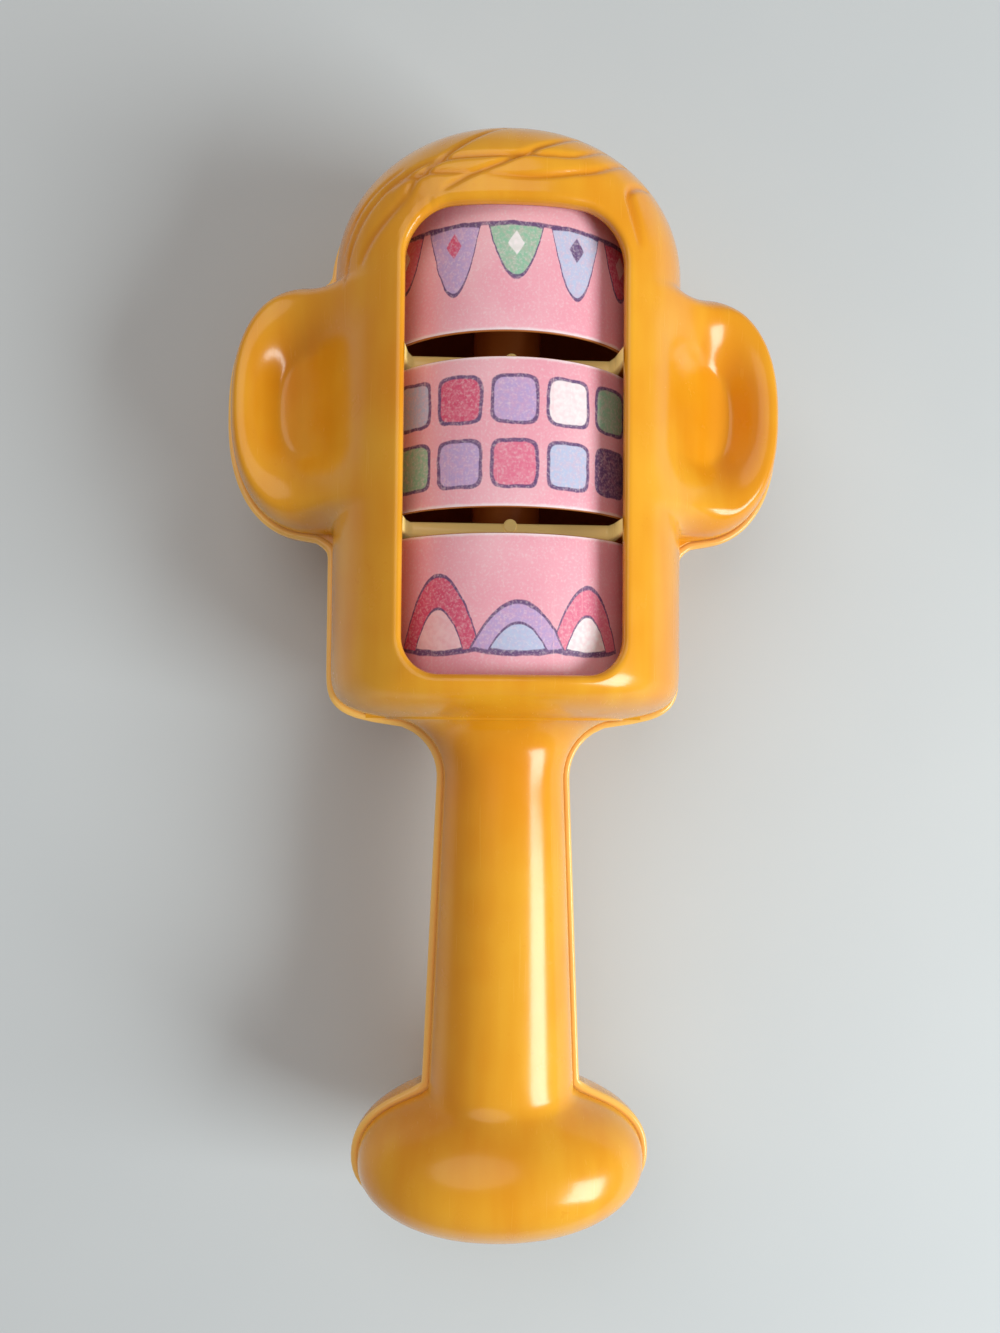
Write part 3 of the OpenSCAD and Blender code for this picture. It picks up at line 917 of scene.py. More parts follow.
@dataclass(frozen=True)
class Lens:
    """A plain printed lens: a rounded shape between an upper and a lower bulge."""

    panel: int
    x: float
    y: float
    half_w: float
    up: float
    down: float
    fill: Ink
    line: float = 0.28

    def place(self, sheet: Sheet, effects: Effects, **where: object) -> Node:
        """Places the shape's group on a label, at the label's coordinates and panel mask."""
        return sheet.group(effects.lens, Centre_X=self.x, Centre_Y=self.y, Half_Width=self.half_w,
                           Up=self.up, Down=self.down, Line=self.line, **where)


DIAMOND = 1.1
BLOCK = 5.0
HILL_FOOT = -6.2
HILL_SAG = 0.8
CORE_WIDE = 0.6
CORE_TALL = 0.55
CORE_SAG = 0.5
CORE_LINE = 0.2
FLAG_TOP = 4.8
FLAG_RISE = 0.3
SPOT_Y = 2.0
STRING_Y = 5.1


def hill(panel: int, x: float, half_w: float, up: float, outer: Ink, core: Ink) -> tuple[Lens, Lens]:
    """A hill of a half width and a height low on the panel, with a smaller one in front of it."""
    back = Lens(panel, x, HILL_FOOT, half_w, up, HILL_SAG, outer)
    return back, Lens(panel, x, HILL_FOOT, CORE_WIDE * half_w, CORE_TALL * up, CORE_SAG, core, CORE_LINE)


def flag(panel: int, x: float, half_w: float, drop: float, ink: Ink, spot: Ink) -> tuple[Lens, Patch]:
    """A rounded flag that hangs down by a drop near the panel's upper edge, with a small diamond on it."""
    diamond = Patch(panel, x, SPOT_Y, half_w=1.3, half_h=1.9, fill=spot, corner=DIAMOND, line=0.0)
    return Lens(panel, x, FLAG_TOP, half_w, FLAG_RISE, drop, ink), diamond


def string(panel: int) -> Patch:
    """The string that a panel's flags hang from."""
    return Patch(panel, 0.0, STRING_Y, half_w=26.0, half_h=0.3, fill=Ink.VIOLET, corner=8.0, line=0.0)


def row(panel: int, pitch: float, y: float, size: Pair, corner: float, *inks: Ink,
        climb: float = 0.0) -> tuple[Patch, ...]:
    """A row of like shapes, one to an ink, spread evenly about the panel's middle.

    Args:
        panel: which panel.
        pitch: distance from one shape to the next.
        y: height of the row.
        size: half width and half height of a shape in the middle.
        corner: the shapes' corner.
        inks: their inks from left to right.
        climb: what a shape's half height gains for each unit to the right.

    Returns:
        The shapes.
    """
    places = [pitch * (k - (len(inks) - 1) / 2) for k in range(len(inks))]
    wide, tall = size
    return tuple(Patch(panel, x, y, wide, tall + climb * x, ink, corner) for x, ink in zip(places, inks))


class Motifs(Enum):
    """The plain shapes that each drum shows, three panels to a drum: bunting, blocks and hills."""

    TOP = (
        *flag(0, -20.4, 4.4, 8.2, Ink.BLUSH, Ink.WHITE),
        *flag(0, -10.2, 4.4, 10.6, Ink.LAVENDER, Ink.HOT),
        *flag(0, 0.0, 4.4, 8.2, Ink.MINT, Ink.WHITE),
        *flag(0, 10.2, 4.4, 10.6, Ink.BLUE, Ink.VIOLET),
        *flag(0, 20.4, 4.4, 8.2, Ink.HOT, Ink.PALE),
        string(0),
        *flag(1, -16.0, 7.0, 10.0, Ink.MINT, Ink.WHITE),
        *flag(1, 0.0, 7.0, 10.0, Ink.LAVENDER, Ink.HOT),
        *flag(1, 16.0, 7.0, 10.0, Ink.BLUE, Ink.BLUSH),
        string(1),
        *row(2, 9.0, 0.4, (3.4, 7.8), DIAMOND, Ink.HOT, Ink.LAVENDER, Ink.MINT, Ink.BLUE, Ink.BLUSH),
    )
    MIDDLE = (
        *row(0, 9.0, 5.0, (3.6, 3.6), BLOCK, Ink.BLUE, Ink.HOT, Ink.LAVENDER, Ink.WHITE, Ink.MINT),
        *row(0, 9.0, -5.0, (3.6, 3.6), BLOCK, Ink.MINT, Ink.LAVENDER, Ink.BLUSH, Ink.BLUE, Ink.VIOLET),
        *row(1, 6.0, 4.4, (2.9, 4.6), DIAMOND, *(7 * [Ink.MINT])),
        *row(1, 6.0, -4.8, (2.9, 4.6), DIAMOND, *(6 * [Ink.LAVENDER])),
        *row(2, 6.0, 0.0, (2.1, 6.6), BLOCK, Ink.HOT, Ink.BLUE, Ink.MINT, Ink.LAVENDER, Ink.WHITE,
             Ink.BLUSH, Ink.VIOLET, climb=1 / 12),
    )
    BOTTOM = (
        *hill(0, -12.4, 7.2, 11.4, Ink.HOT, Ink.PALE),
        *hill(0, 12.8, 6.8, 9.8, Ink.BLUSH, Ink.WHITE),
        *hill(0, 0.8, 7.6, 7.2, Ink.LAVENDER, Ink.BLUE),
        *hill(1, -9.0, 8.4, 8.0, Ink.LAVENDER, Ink.WHITE),
        *hill(1, 8.0, 8.0, 11.6, Ink.MINT, Ink.BLUE),
        *hill(2, -14.0, 6.8, 7.4, Ink.BLUSH, Ink.WHITE),
        *hill(2, 13.0, 7.2, 8.8, Ink.MINT, Ink.LAVENDER),
        *hill(2, 0.0, 9.0, 12.0, Ink.HOT, Ink.BLUSH),
    )


@dataclass(frozen=True)
class PrintedLabel:
    """A printed paper label under a thin varnish: pink ground, plain shapes, print grain and worn edges.

    A scale is in waves to a metre, and a range is where a noise or a place turns into a mark.
    """

    name: str
    motifs: Motifs
    around: float = 147.65
    tall: float = 23.2
    panels: int = 3
    mask_slack: float = 0.1
    shake: float = 0.5
    shake_scale: float = 420.0
    blot_scale: float = 60.0
    blot_range: Pair = (0.35, 0.7)
    blot_share: float = 0.45
    hatch_scale: float = 1300.0
    hatch_range: Pair = (0.3, 0.75)
    fill_gaps: float = 0.3
    line_gaps: float = 0.2
    grain_scale: float = 2600.0
    grain_range: Pair = (0.45, 0.8)
    grain_share: float = 0.3
    wear: float = 0.8
    scratch_share: float = 0.3
    rim_scale: float = 500.0
    rim_ragged: float = 0.02
    rim_range: Pair = (0.475, 0.497)
    rim_share: float = 0.7
    rough: float = 0.36
    rough_scale: float = 300.0
    rough_swing: float = 0.2
    bump_scale: float = 900.0
    bump: float = 0.00004
    bump_strength: float = 0.35
    ior: float = 1.48

    def build(self, effects: Effects) -> Material:
        """Builds the material on the label's own texture map, in millimetres from the middle of a panel.

        Args:
            effects: the shared effects.

        Returns:
            The material.
        """
        made, sheet, shader = new_material(self.name)
        split = sheet.node("ShaderNodeSeparateXYZ")
        sheet.feed(split.inputs[0], sheet.node("ShaderNodeUVMap", uv_map="wrap").outputs["UV"])
        place = sheet.place()
        middle = sheet.minus(split.outputs["Y"], 0.5)
        colour = self._print(sheet, effects, place, split.outputs["X"], middle)
        ragged = sheet.times(sheet.minus(sheet.noise(place, self.rim_scale), 0.5), self.rim_ragged)
        rim = sheet.plus(sheet.math("ABSOLUTE", middle), ragged)
        worn = sheet.times(sheet.step(rim, *self.rim_range), self.rim_share)
        sheet.feed(shader.inputs["Base Color"], sheet.mix(worn, colour, Ink.WHITE.value))
        swing = sheet.times(sheet.noise(place, self.rough_scale, 3.0), self.rough_swing)
        sheet.feed(shader.inputs["Roughness"], sheet.plus(self.rough, swing))
        sheet.bump(shader, sheet.noise(place, self.bump_scale, 3.0), self.bump_strength, self.bump)
        shader.inputs["IOR"].default_value = self.ior
        return made

    def _print(self, sheet: Sheet, effects: Effects, place: Socket, turn: Socket, middle: Socket) -> Socket:
        """Prints the ground and the shapes, with a shaky hand, gaps in the ink and fine scratches.

        Args:
            sheet: the material's sheet.
            effects: the shared effects.
            place: the piece's own coordinates.
            turn: share of the way round the drum.
            middle: share of the label's height above its middle.

        Returns:
            The printed colour.
        """
        turn = sheet.plus(sheet.times(turn, float(self.panels)), 0.5)
        inside = sheet.minus(sheet.math("FRACT", turn), 0.5)
        number = sheet.math("FLOORED_MODULO", sheet.math("FLOOR", turn), float(self.panels))
        shake = sheet.times(sheet.minus(sheet.noise(place, self.shake_scale), 0.5), self.shake)
        x = sheet.plus(sheet.times(inside, self.around / self.panels), shake)
        y = sheet.plus(sheet.times(middle, self.tall), shake)
        masks = [sheet.math("COMPARE", number, float(k), self.mask_slack) for k in range(self.panels)]
        blot = sheet.step(sheet.noise(place, self.blot_scale, 3.0), *self.blot_range)
        colour = sheet.mix(sheet.times(blot, self.blot_share), Ink.GROUND.value, Ink.PALE.value)
        hatch = sheet.step(sheet.noise(place, self.hatch_scale), *self.hatch_range)
        full = sheet.minus(1.0, sheet.times(hatch, self.fill_gaps))
        drawn = sheet.minus(1.0, sheet.times(hatch, self.line_gaps))
        for shape in self.motifs.value:
            ink = shape.place(sheet, effects, X=x, Y=y, Panel=masks[shape.panel]).outputs
            colour = sheet.mix(sheet.times(ink["Fill"], full), colour, shape.fill.value)
            colour = sheet.mix(sheet.times(ink["Edge"], drawn), colour, Ink.VIOLET.value)
        grain = sheet.step(sheet.noise(place, self.grain_scale), *self.grain_range)
        colour = sheet.mix(sheet.times(grain, self.grain_share), colour, Ink.WHITE.value)
        scuffs = sheet.group(effects.scuffs, Place=place, Amount=self.wear).outputs
        return sheet.mix(sheet.times(scuffs["Scratches"], self.scratch_share), colour, Ink.PALE.value)


@dataclass(frozen=True)
class Finishes:
    """Every finish of the toy, built once."""

    shell: Material
    drum: Material
    axle: Material
    pellet: Material
    labels: dict[str, Material]

    @classmethod
    def build(cls, effects: Effects) -> "Finishes":
        """Builds the materials.

        Args:
            effects: the shared effects.

        Returns:
            The finishes.
        """
        plastics = (
            # the shell's painted_glow lights its thin edges: plate fronts, ribs and the back shell's lip
            MouldedPlastic("amber_shell", paint(240, 164, 26), paint(224, 130, 4), paint(247, 186, 58),
                           rough=0.24, coat=0.55, coat_rough=0.18, shine=0.24, painted_glow=0.22),
            # painted shade: the drums take a darker copy of the shell's amber, standing for the shade in the
            # bays
            MouldedPlastic("brown_drum", paint(186, 104, 40), paint(142, 68, 22), paint(206, 128, 60),
                           rough=0.42, coat=0.1),
            MouldedPlastic("brown_axle", paint(150, 92, 48), paint(118, 66, 30), paint(176, 118, 70),
                           rough=0.4, coat=0.1),
            MouldedPlastic("pale_pellet", paint(232, 226, 208), paint(206, 196, 172), paint(244, 240, 228),
                           rough=0.45, coat=0.1),
        )
        labels = {m.name: PrintedLabel(f"{m.name.lower()}_print", m).build(effects) for m in Motifs}
        return cls(*(plastic.build(effects) for plastic in plastics), labels)


@dataclass(frozen=True)
class Window:
    """The window in the face: a rectangle with one corner radius at its foot and another at its head."""

    half_w: float = 17.6
    foot: float = 1.4
    top: float = 75.0
    r_low: float = 6.0
    r_high: float = 7.5
    reach: float = 6.0
    arch: float = 0.4
    spread: float = 1.6
    on_edge: float = 1e-6

    def grown(self, by: float) -> "Window":
        """The same window with its outline moved outwards."""
        return replace(self, half_w=self.half_w + by, foot=self.foot - by, top=self.top + by,
                       r_low=self.r_low + by, r_high=self.r_high + by)

    def round_corners(self, x: Array, y: Array) -> tuple[Array, Array]:
        """Pulls a grid that has a square hole into the window's arcs.

        A place s along a square edge goes to the place at the same share along the arc and the straight
        that follows it, up to the spread times the radius. A point off the edge takes the same pull, eased
        off to nothing over the reach. The head of the window bows up by a parabola.

        Args:
            x: places across.
            y: heights.

        Returns:
            The moved places and heights.
        """
        for side in (-1, 1):
            for up, at, r in ((1, self.foot, self.r_low), (-1, self.top, self.r_high)):
                inset, lift = self.half_w - side * x, up * (y - at)
                beside = (inset <= self.on_edge) & (lift > 0)
                past = (inset <= self.on_edge) & (lift <= 0)
                under = (inset > self.on_edge) & (lift <= self.on_edge)
                s = np.where(beside, lift, np.where(under, inset, 0))
                span, arc = self.spread * r, r * np.pi / 4
                share = np.minimum(s / span, 1) * (span - r + arc)
                turn = np.clip(np.pi / 4 - share / r, 0, np.pi / 4)
                along = r - r * np.sin(turn) + np.maximum(share - arc, 0) + np.maximum(s - span, 0) - s
                across = r - r * np.cos(turn)
                off = np.hypot(np.minimum(inset, 0), np.minimum(lift, 0))
                pull = (1 - ease(0, self.reach, off)) * (beside | past | under)
                x = x - side * np.where(under, along, across) * pull
                y = y + up * np.where(beside, along, across) * pull
        bow = self.arch * (1 - np.minimum(np.abs(x) / self.half_w, 1) ** 2)
        return x, y + bow * (1 - ease(0, self.reach, np.abs(y - self.top)))


@dataclass(frozen=True)
class ShellGrid:
    """A grid on the toy's skin with lanes of columns that run beside and across the window."""

    form: ToyForm
    window: Window
    steps: tuple[int, int, int]
    side_cols: int
    mid_cols: int
    bay_top: float = 77.4

    def heights(self) -> Array:
        """Heights of the rows: even along the profile below, beside and above the bay of the drums.

        They are then stretched so that the bay's ends fall on the window's, and the ends on the skin's.

        Returns:
            One height for each row.
        """
        form, hole, top = self.form, self.window, self.bay_top
        low = form.rows(form.foot_y, 0, self.steps[0])
        mid = form.rows(0, top, self.steps[1])
        high = form.rows(top, form.crown_y, self.steps[2])
        low = hole.foot + low * (hole.foot - form.foot_y + form.grow) / -form.foot_y
        mid = hole.foot + mid * (hole.top - hole.foot) / top
        high = hole.top + (high - top) * (form.crown_y + form.grow - hole.top) / (form.crown_y - top)
        return np.concatenate([low, mid[1:], high[1:]])

    def lanes(self) -> tuple[Array, Array]:
        """Places of the grid in plan: columns even along the arc from each edge in to the window's lane.

        Returns:
            Places across and heights, rows by columns.
        """
        y = self.heights()
        hole, form = self.window, self.form
        body = form.body_half_width(y)
        ends = form.body_half_width(np.array([hole.foot, hole.top]))
        lane = np.where(y < hole.foot, hole.half_w * body / ends[0], hole.half_w)
        lane = np.where(y > hole.top, hole.half_w * body / ends[1], lane)
        side = form.columns(y, lane, self.side_cols)
        mid = lane[:, None] * np.linspace(-1, 1, self.mid_cols + 1)[None, 1:-1]
        x = np.concatenate([-side, mid, side[:, ::-1]], axis=1)
        return hole.round_corners(x, np.repeat(y[:, None], x.shape[1], axis=1))

    def points(self, side: float) -> Array:
        """Points of the grid on the skin, with the edge columns on the seam.

        Args:
            side: 1 for the face and -1 for the back.

        Returns:
            Rows by columns by 3.
        """
        x, y = self.lanes()
        z = self.form.rise(x, y)
        z[:, [0, -1]] = 0
        return np.stack([x, y, self.form.axle_z + side * z], axis=-1)

    @property
    def hole(self) -> tuple[int, int, int, int]:
        """The window's first and last row, and its first and last column."""
        low, left = self.steps[0], self.side_cols
        return low, low + self.steps[1], left, left + self.mid_cols

    def keep(self) -> Array:
        """Which cells lie outside the window.

        Returns:
            Rows by columns of cells.
        """
        low, high, left, right = self.hole
        mask = np.ones((sum(self.steps), 2 * self.side_cols + self.mid_cols), bool)
        mask[low:high, left:right] = False
        return mask

    def rim(self, points: Array) -> Array:
        """The window's edge as a closed loop, anticlockwise as the face is seen.

        Args:
            points: the grid's points.

        Returns:
            One row for each point of the loop, the first repeated at the end.
        """
        low, high, left, right = self.hole
        parts = [points[low, left:right], points[low:high, right], points[high, right:left:-1],
                 points[high:low:-1, left], points[low:low + 1, left]]
        return np.concatenate(parts)


@dataclass(frozen=True)
class Seam:
    """Profiles along the seam: how far outside the front shell's outline, and at what height."""

    front: Profile = ((-0.06, 25.85), (-0.25, 25.7), (-1.7, 25.7))
    back: Profile = ((1.25, 25.35), (1.18, 25.68), (0.98, 25.92), (0.72, 26.0), (0.4, 25.97), (0.16, 25.84),
                     (0.02, 25.62), (-0.3, 25.6), (-1.2, 25.6))
    # how strongly the back shell's lip is painted paler and glowing, as painted light
    pale: float = 0.4

    @staticmethod
    def strip(grid: ShellGrid, skin: Array, lining: Array, profile: Profile, side: int) -> Array:
        """The seam's profile carried along one side of the outline, from the skin's edge to the lining's.

        Args:
            grid: the skin's grid, whose rows the profile follows.
            skin: the skin's points.
            lining: the lining's points.
            profile: offsets and heights.
            side: 1 for the right and -1 for the left.

        Returns:
            Rows by profile points by 3.
        """
        lines = []
        for grow, z in profile:
            form = replace(grid.form, grow=grow)
            y = replace(grid, form=form).heights()
            lines.append(np.stack([side * form.half_width(y), y, np.full(len(y), z)], axis=-1))
        column = [-1] if side > 0 else [0]
        return np.concatenate([skin[:, column], np.stack(lines, axis=1), lining[:, column]], axis=1)

    def lip_glow_marks(self, rows: int) -> Array:
        """Marks of so many rows of the back shell's strip, negative on the thin lip that stands out, as
        painted glow.
        """
        off = np.array([0.0, *(grow for grow, _ in self.back), 0.0])
        return np.broadcast_to(-self.pale * (off > 0), (rows, len(off)))


@dataclass(frozen=True)
class Divider:
    """A plate between two drums, or a wall that holds the axle, inside both shells."""

    low: float
    high: float
    open_z: float = 99.0
    rib: bool = False
    ramp: tuple[float, float, float] = (16.7, 17.6, 3.2)
    ramp_slack: float = 0.05
    cols: int = 121
    sunk: float = 0.8
    edge_r: float = 0.5
    bevel: float = 0.3
    # where the painted glow on the open front edge eases in, and how far beside the mouth it reaches
    glow_range: Pair = (7.0, 0.5)
    glow_side: float = 0.6
    rib_r: float = 1.15
    rib_foot: float = 34.0
    rib_top: float = 39.3
    rib_round: float = 0.25
    rib_inset: float = 0.45
    rib_cols: int = 33
    rib_turns: int = 6

    def plate(self, form: ToyForm, side: float) -> Array:
        """A round-edged profile carried across the toy along the plate's front edge, with closed ends.

        Args:
            form: the form of the wall's inner skin.
            side: 1 for the face and -1 for the back.

        Returns:
            Rows by columns by 3.
        """
        at = np.full(self.cols, (self.low + self.high) / 2)
        edge = form.body_half_width(at[:1])[0]
        x = edge * np.sin(np.linspace(-np.pi / 2, np.pi / 2, self.cols))
        top = np.minimum(form.rise(x, at) + self.sunk, form.axle_z - self.sunk / 2)
        if side > 0:
            start, end, climb = self.ramp
            mouth = self.open_z - form.axle_z + climb * np.clip((np.abs(x) - start) / (end - start), 0, 1)
            top = np.where(np.abs(x) < end + self.ramp_slack, np.minimum(top, mouth), top)
        r = min(self.edge_r, (self.high - self.low) / 3)
        b = self.bevel * r
        profile = ((self.low, None), (self.low, r), (self.low + b, b), (self.low + r, 0), (self.high - r, 0),
                   (self.high - b, b), (self.high, r), (self.high, None), (self.low, None))
        rows = []
        for y, sink in profile:
            z = form.axle_z + side * (0 * top if sink is None else top - sink)
            rows.append(np.stack([x, np.full(self.cols, y), z], axis=-1))
        made = np.stack(rows)
        caps = np.broadcast_to(made[:-1].mean(axis=0), made.shape)
        return np.concatenate([caps[:, :1], made, caps[:, -1:]], axis=1)

    def glow_marks(self, points: Array) -> Array:
        """A mark of -1 on the open front edge, easing to 0 below it: painted glow that stands for light
        coming through the plate.

        Args:
            points: the plate's points.

        Returns:
            One mark for each point.
        """
        start, end = (self.open_z - below for below in self.glow_range)
        inside = np.abs(points[..., 0]) < self.ramp[1] + self.glow_side
        return -ease(start, end, points[..., 2]) * inside

    def rib_grid(self) -> Array:
        """A half-round rib with a rounded head that stands on the plate's upper face.

        Returns:
            Rows by columns by 3.
        """
        around = np.linspace(0, 2 * np.pi, self.rib_cols)
        r, flat, top = self.rib_round, self.rib_r - self.rib_round, self.rib_top - self.rib_round
        foot = np.array([[0.0, self.rib_foot], [self.rib_r, self.rib_foot], [self.rib_r, top]])
        turn = np.linspace(0, np.pi / 2, self.rib_turns)[1:]
        dome = np.column_stack([flat + r * np.cos(turn), top + r * np.sin(turn)])
        line = np.vstack([foot, dome, [[0.0, self.rib_top]]])
        x = line[:, :1] * np.cos(around)[None]
        y = self.high - self.rib_inset + line[:, :1] * np.sin(around)[None]
        return np.stack([x, y, np.repeat(line[:, 1:], self.rib_cols, axis=1)], axis=-1)


PLATES = ((24.6, 27.0), (52.6, 55.0))
AXLE_WALLS = ((-6.0, -1.0), (80.6, 85.6))
PLATE_FRONT_Z = 39.0


@dataclass(frozen=True)
class FrontShell:
    """The face half: skin with ears and hair, the window's round rim, inner wall, plates and axle walls."""

    form: ToyForm
    dish: float = 4.8
    wall: float = 2.2
    rim_r: float = 1.4
    rim_steps: int = 8
    rim_drop: float = 0.6
    hair_fade: float = 2.0
    top_round: float = 0.3
    steps: tuple[int, int, int] = (84, 110, 130)
    side_cols: int = 70
    mid_cols: int = 72
    lining_cols: int = 8
    window: Window = field(default_factory=Window)
    seam: Seam = field(default_factory=Seam)

    def build(self) -> Object:
        """Builds the shell's mesh.

        Returns:
            The object.
        """
        sheet, face = MeshSheet(), replace(self.form, dish=self.dish)
        wall = replace(face, grow=-self.wall)
        hole = self.window.grown(self.rim_r)
        outer = ShellGrid(face, hole, self.steps, self.side_cols, self.mid_cols)
        inner = ShellGrid(wall, self.window, self.steps, self.lining_cols, self.mid_cols)
        lining = inner.points(1)
        skin, mark = HairSide.FACE.dress(outer.points(1), face, 1, self.hair_fade)
        skin[..., 2] = -soft_max(-skin[..., 2], -(face.axle_z + face.head_hd), self.top_round)
        sheet.add(skin, keep=outer.keep(), mark=mark)
        sheet.add(lining, flip=True, keep=inner.keep())
        sheet.add(self._rim(face, outer.rim(skin), inner.rim(lining)))
        for side in (-1, 1):
            sheet.add(self.seam.strip(outer, skin, lining, self.seam.front, side), flip=side < 0)
        plates = [Divider(*ends, PLATE_FRONT_Z, True) for ends in PLATES]
        for plate in (*plates, *(Divider(*ends) for ends in AXLE_WALLS)):
            board = plate.plate(wall, 1)
            # the plates' and ribs' open front edges get painted glow
            sheet.add(board, mark=plate.glow_marks(board))
            if plate.rib:
                rib = plate.rib_grid()
                sheet.add(rib, mark=plate.glow_marks(rib))
        return sheet.make("face_shell")

    def _rim(self, form: ToyForm, outside: Array, inside: Array) -> Array:
        """Carries a quarter round from the skin's edge in and down to the window's wall.

        Args:
            form: the skin's form.
            outside: the skin's edge loop.
            inside: the inner wall's edge loop.

        Returns:
            Loops by points by 3.
        """
        ring = outside[:-1]
        tangent = np.roll(ring, -1, axis=0) - np.roll(ring, 1, axis=0)
        inward = np.column_stack([-tangent[:, 1], tangent[:, 0]])
        inward = inward / np.linalg.norm(inward, axis=1, keepdims=True)
        inward = np.vstack([inward, inward[:1]])
        base = form.rise(outside[:, 0], outside[:, 1])
        loops = [outside]
        for turn in np.linspace(0, np.pi / 2, self.rim_steps + 1)[1:]:
            spot = outside[:, :2] + inward * self.rim_r * np.sin(turn)
            here = form.rise(spot[:, 0], spot[:, 1]) - base
            drop = self.rim_r * (1 - np.cos(turn))
            loops.append(np.column_stack([spot, outside[:, 2] + here - drop]))
        loops.append(loops[-1] * [1, 1, 1 - self.rim_drop] + inside * [0, 0, self.rim_drop])
        return np.stack([*loops, inside])


@dataclass(frozen=True)
class BackShell:
    """The back half: skin with ears and hair, a flat to lie on, the lip at the seam, and its inner wall."""

    form: ToyForm
    lip: float = 1.25
    wall: float = 2.75
    hair_fade: float = 2.0
    tuck: float = 0.35
    flat_round: float = 0.7
    steps: tuple[int, int, int] = (110, 100, 84)
    side_cols: int = 72
    lining_cols: int = 14
    spine: Window = field(default_factory=lambda: Window(half_w=0.02, r_low=0.01, r_high=0.01, arch=0.0))
    seam: Seam = field(default_factory=Seam)

    def build(self) -> Object:
        """Builds the shell's mesh. The two middle columns run down a spine that is almost closed.

        The skin's depth is rounded off under the lip as the root of its square and the lip's drop squared.

        Returns:
            The object.
        """
        form, sheet = replace(self.form, grow=self.lip), MeshSheet()
        wall = replace(form, grow=self.lip - self.wall)
        outer = ShellGrid(form, self.spine, self.steps, self.side_cols, 2)
        inner = ShellGrid(wall, self.spine, self.steps, self.lining_cols, 2)
        lining = inner.points(-1)
        skin, mark = HairSide.BACK.dress(outer.points(-1), form, -1, self.hair_fade)
        drop = form.axle_z - self.seam.back[0][1] + self.tuck
        depth = np.hypot(form.axle_z - skin[..., 2], drop)
        skin[..., 2] = soft_max(form.axle_z - depth, 0.0, self.flat_round)
        sheet.add(skin, flip=True, mark=mark)
        sheet.add(lining)
        for side in (-1, 1):
            strip = self.seam.strip(outer, skin, lining, self.seam.back, side)
            # the lip's strip carries painted glow
            sheet.add(strip, flip=side > 0, mark=self.seam.lip_glow_marks(len(strip)))
        for ends in (*PLATES, *AXLE_WALLS):
            sheet.add(Divider(*ends).plate(wall, -1), flip=True)
        return sheet.make("back_shell_skin")


BAY_FOOT = -0.2
BAY_PITCH = 28.0


class Bay(Enum):
    """The three drums, by the bay they turn in."""

    BOTTOM = 0
    MIDDLE = 1
    TOP = 2

    @property
    def foot(self) -> float:
        """Height of the drum's lower end."""
        return BAY_FOOT + BAY_PITCH * self.value

    @property
    def body(self) -> str:
        """The body that the drum and its label ride on."""
        return f"{self.name.lower()}_roller"


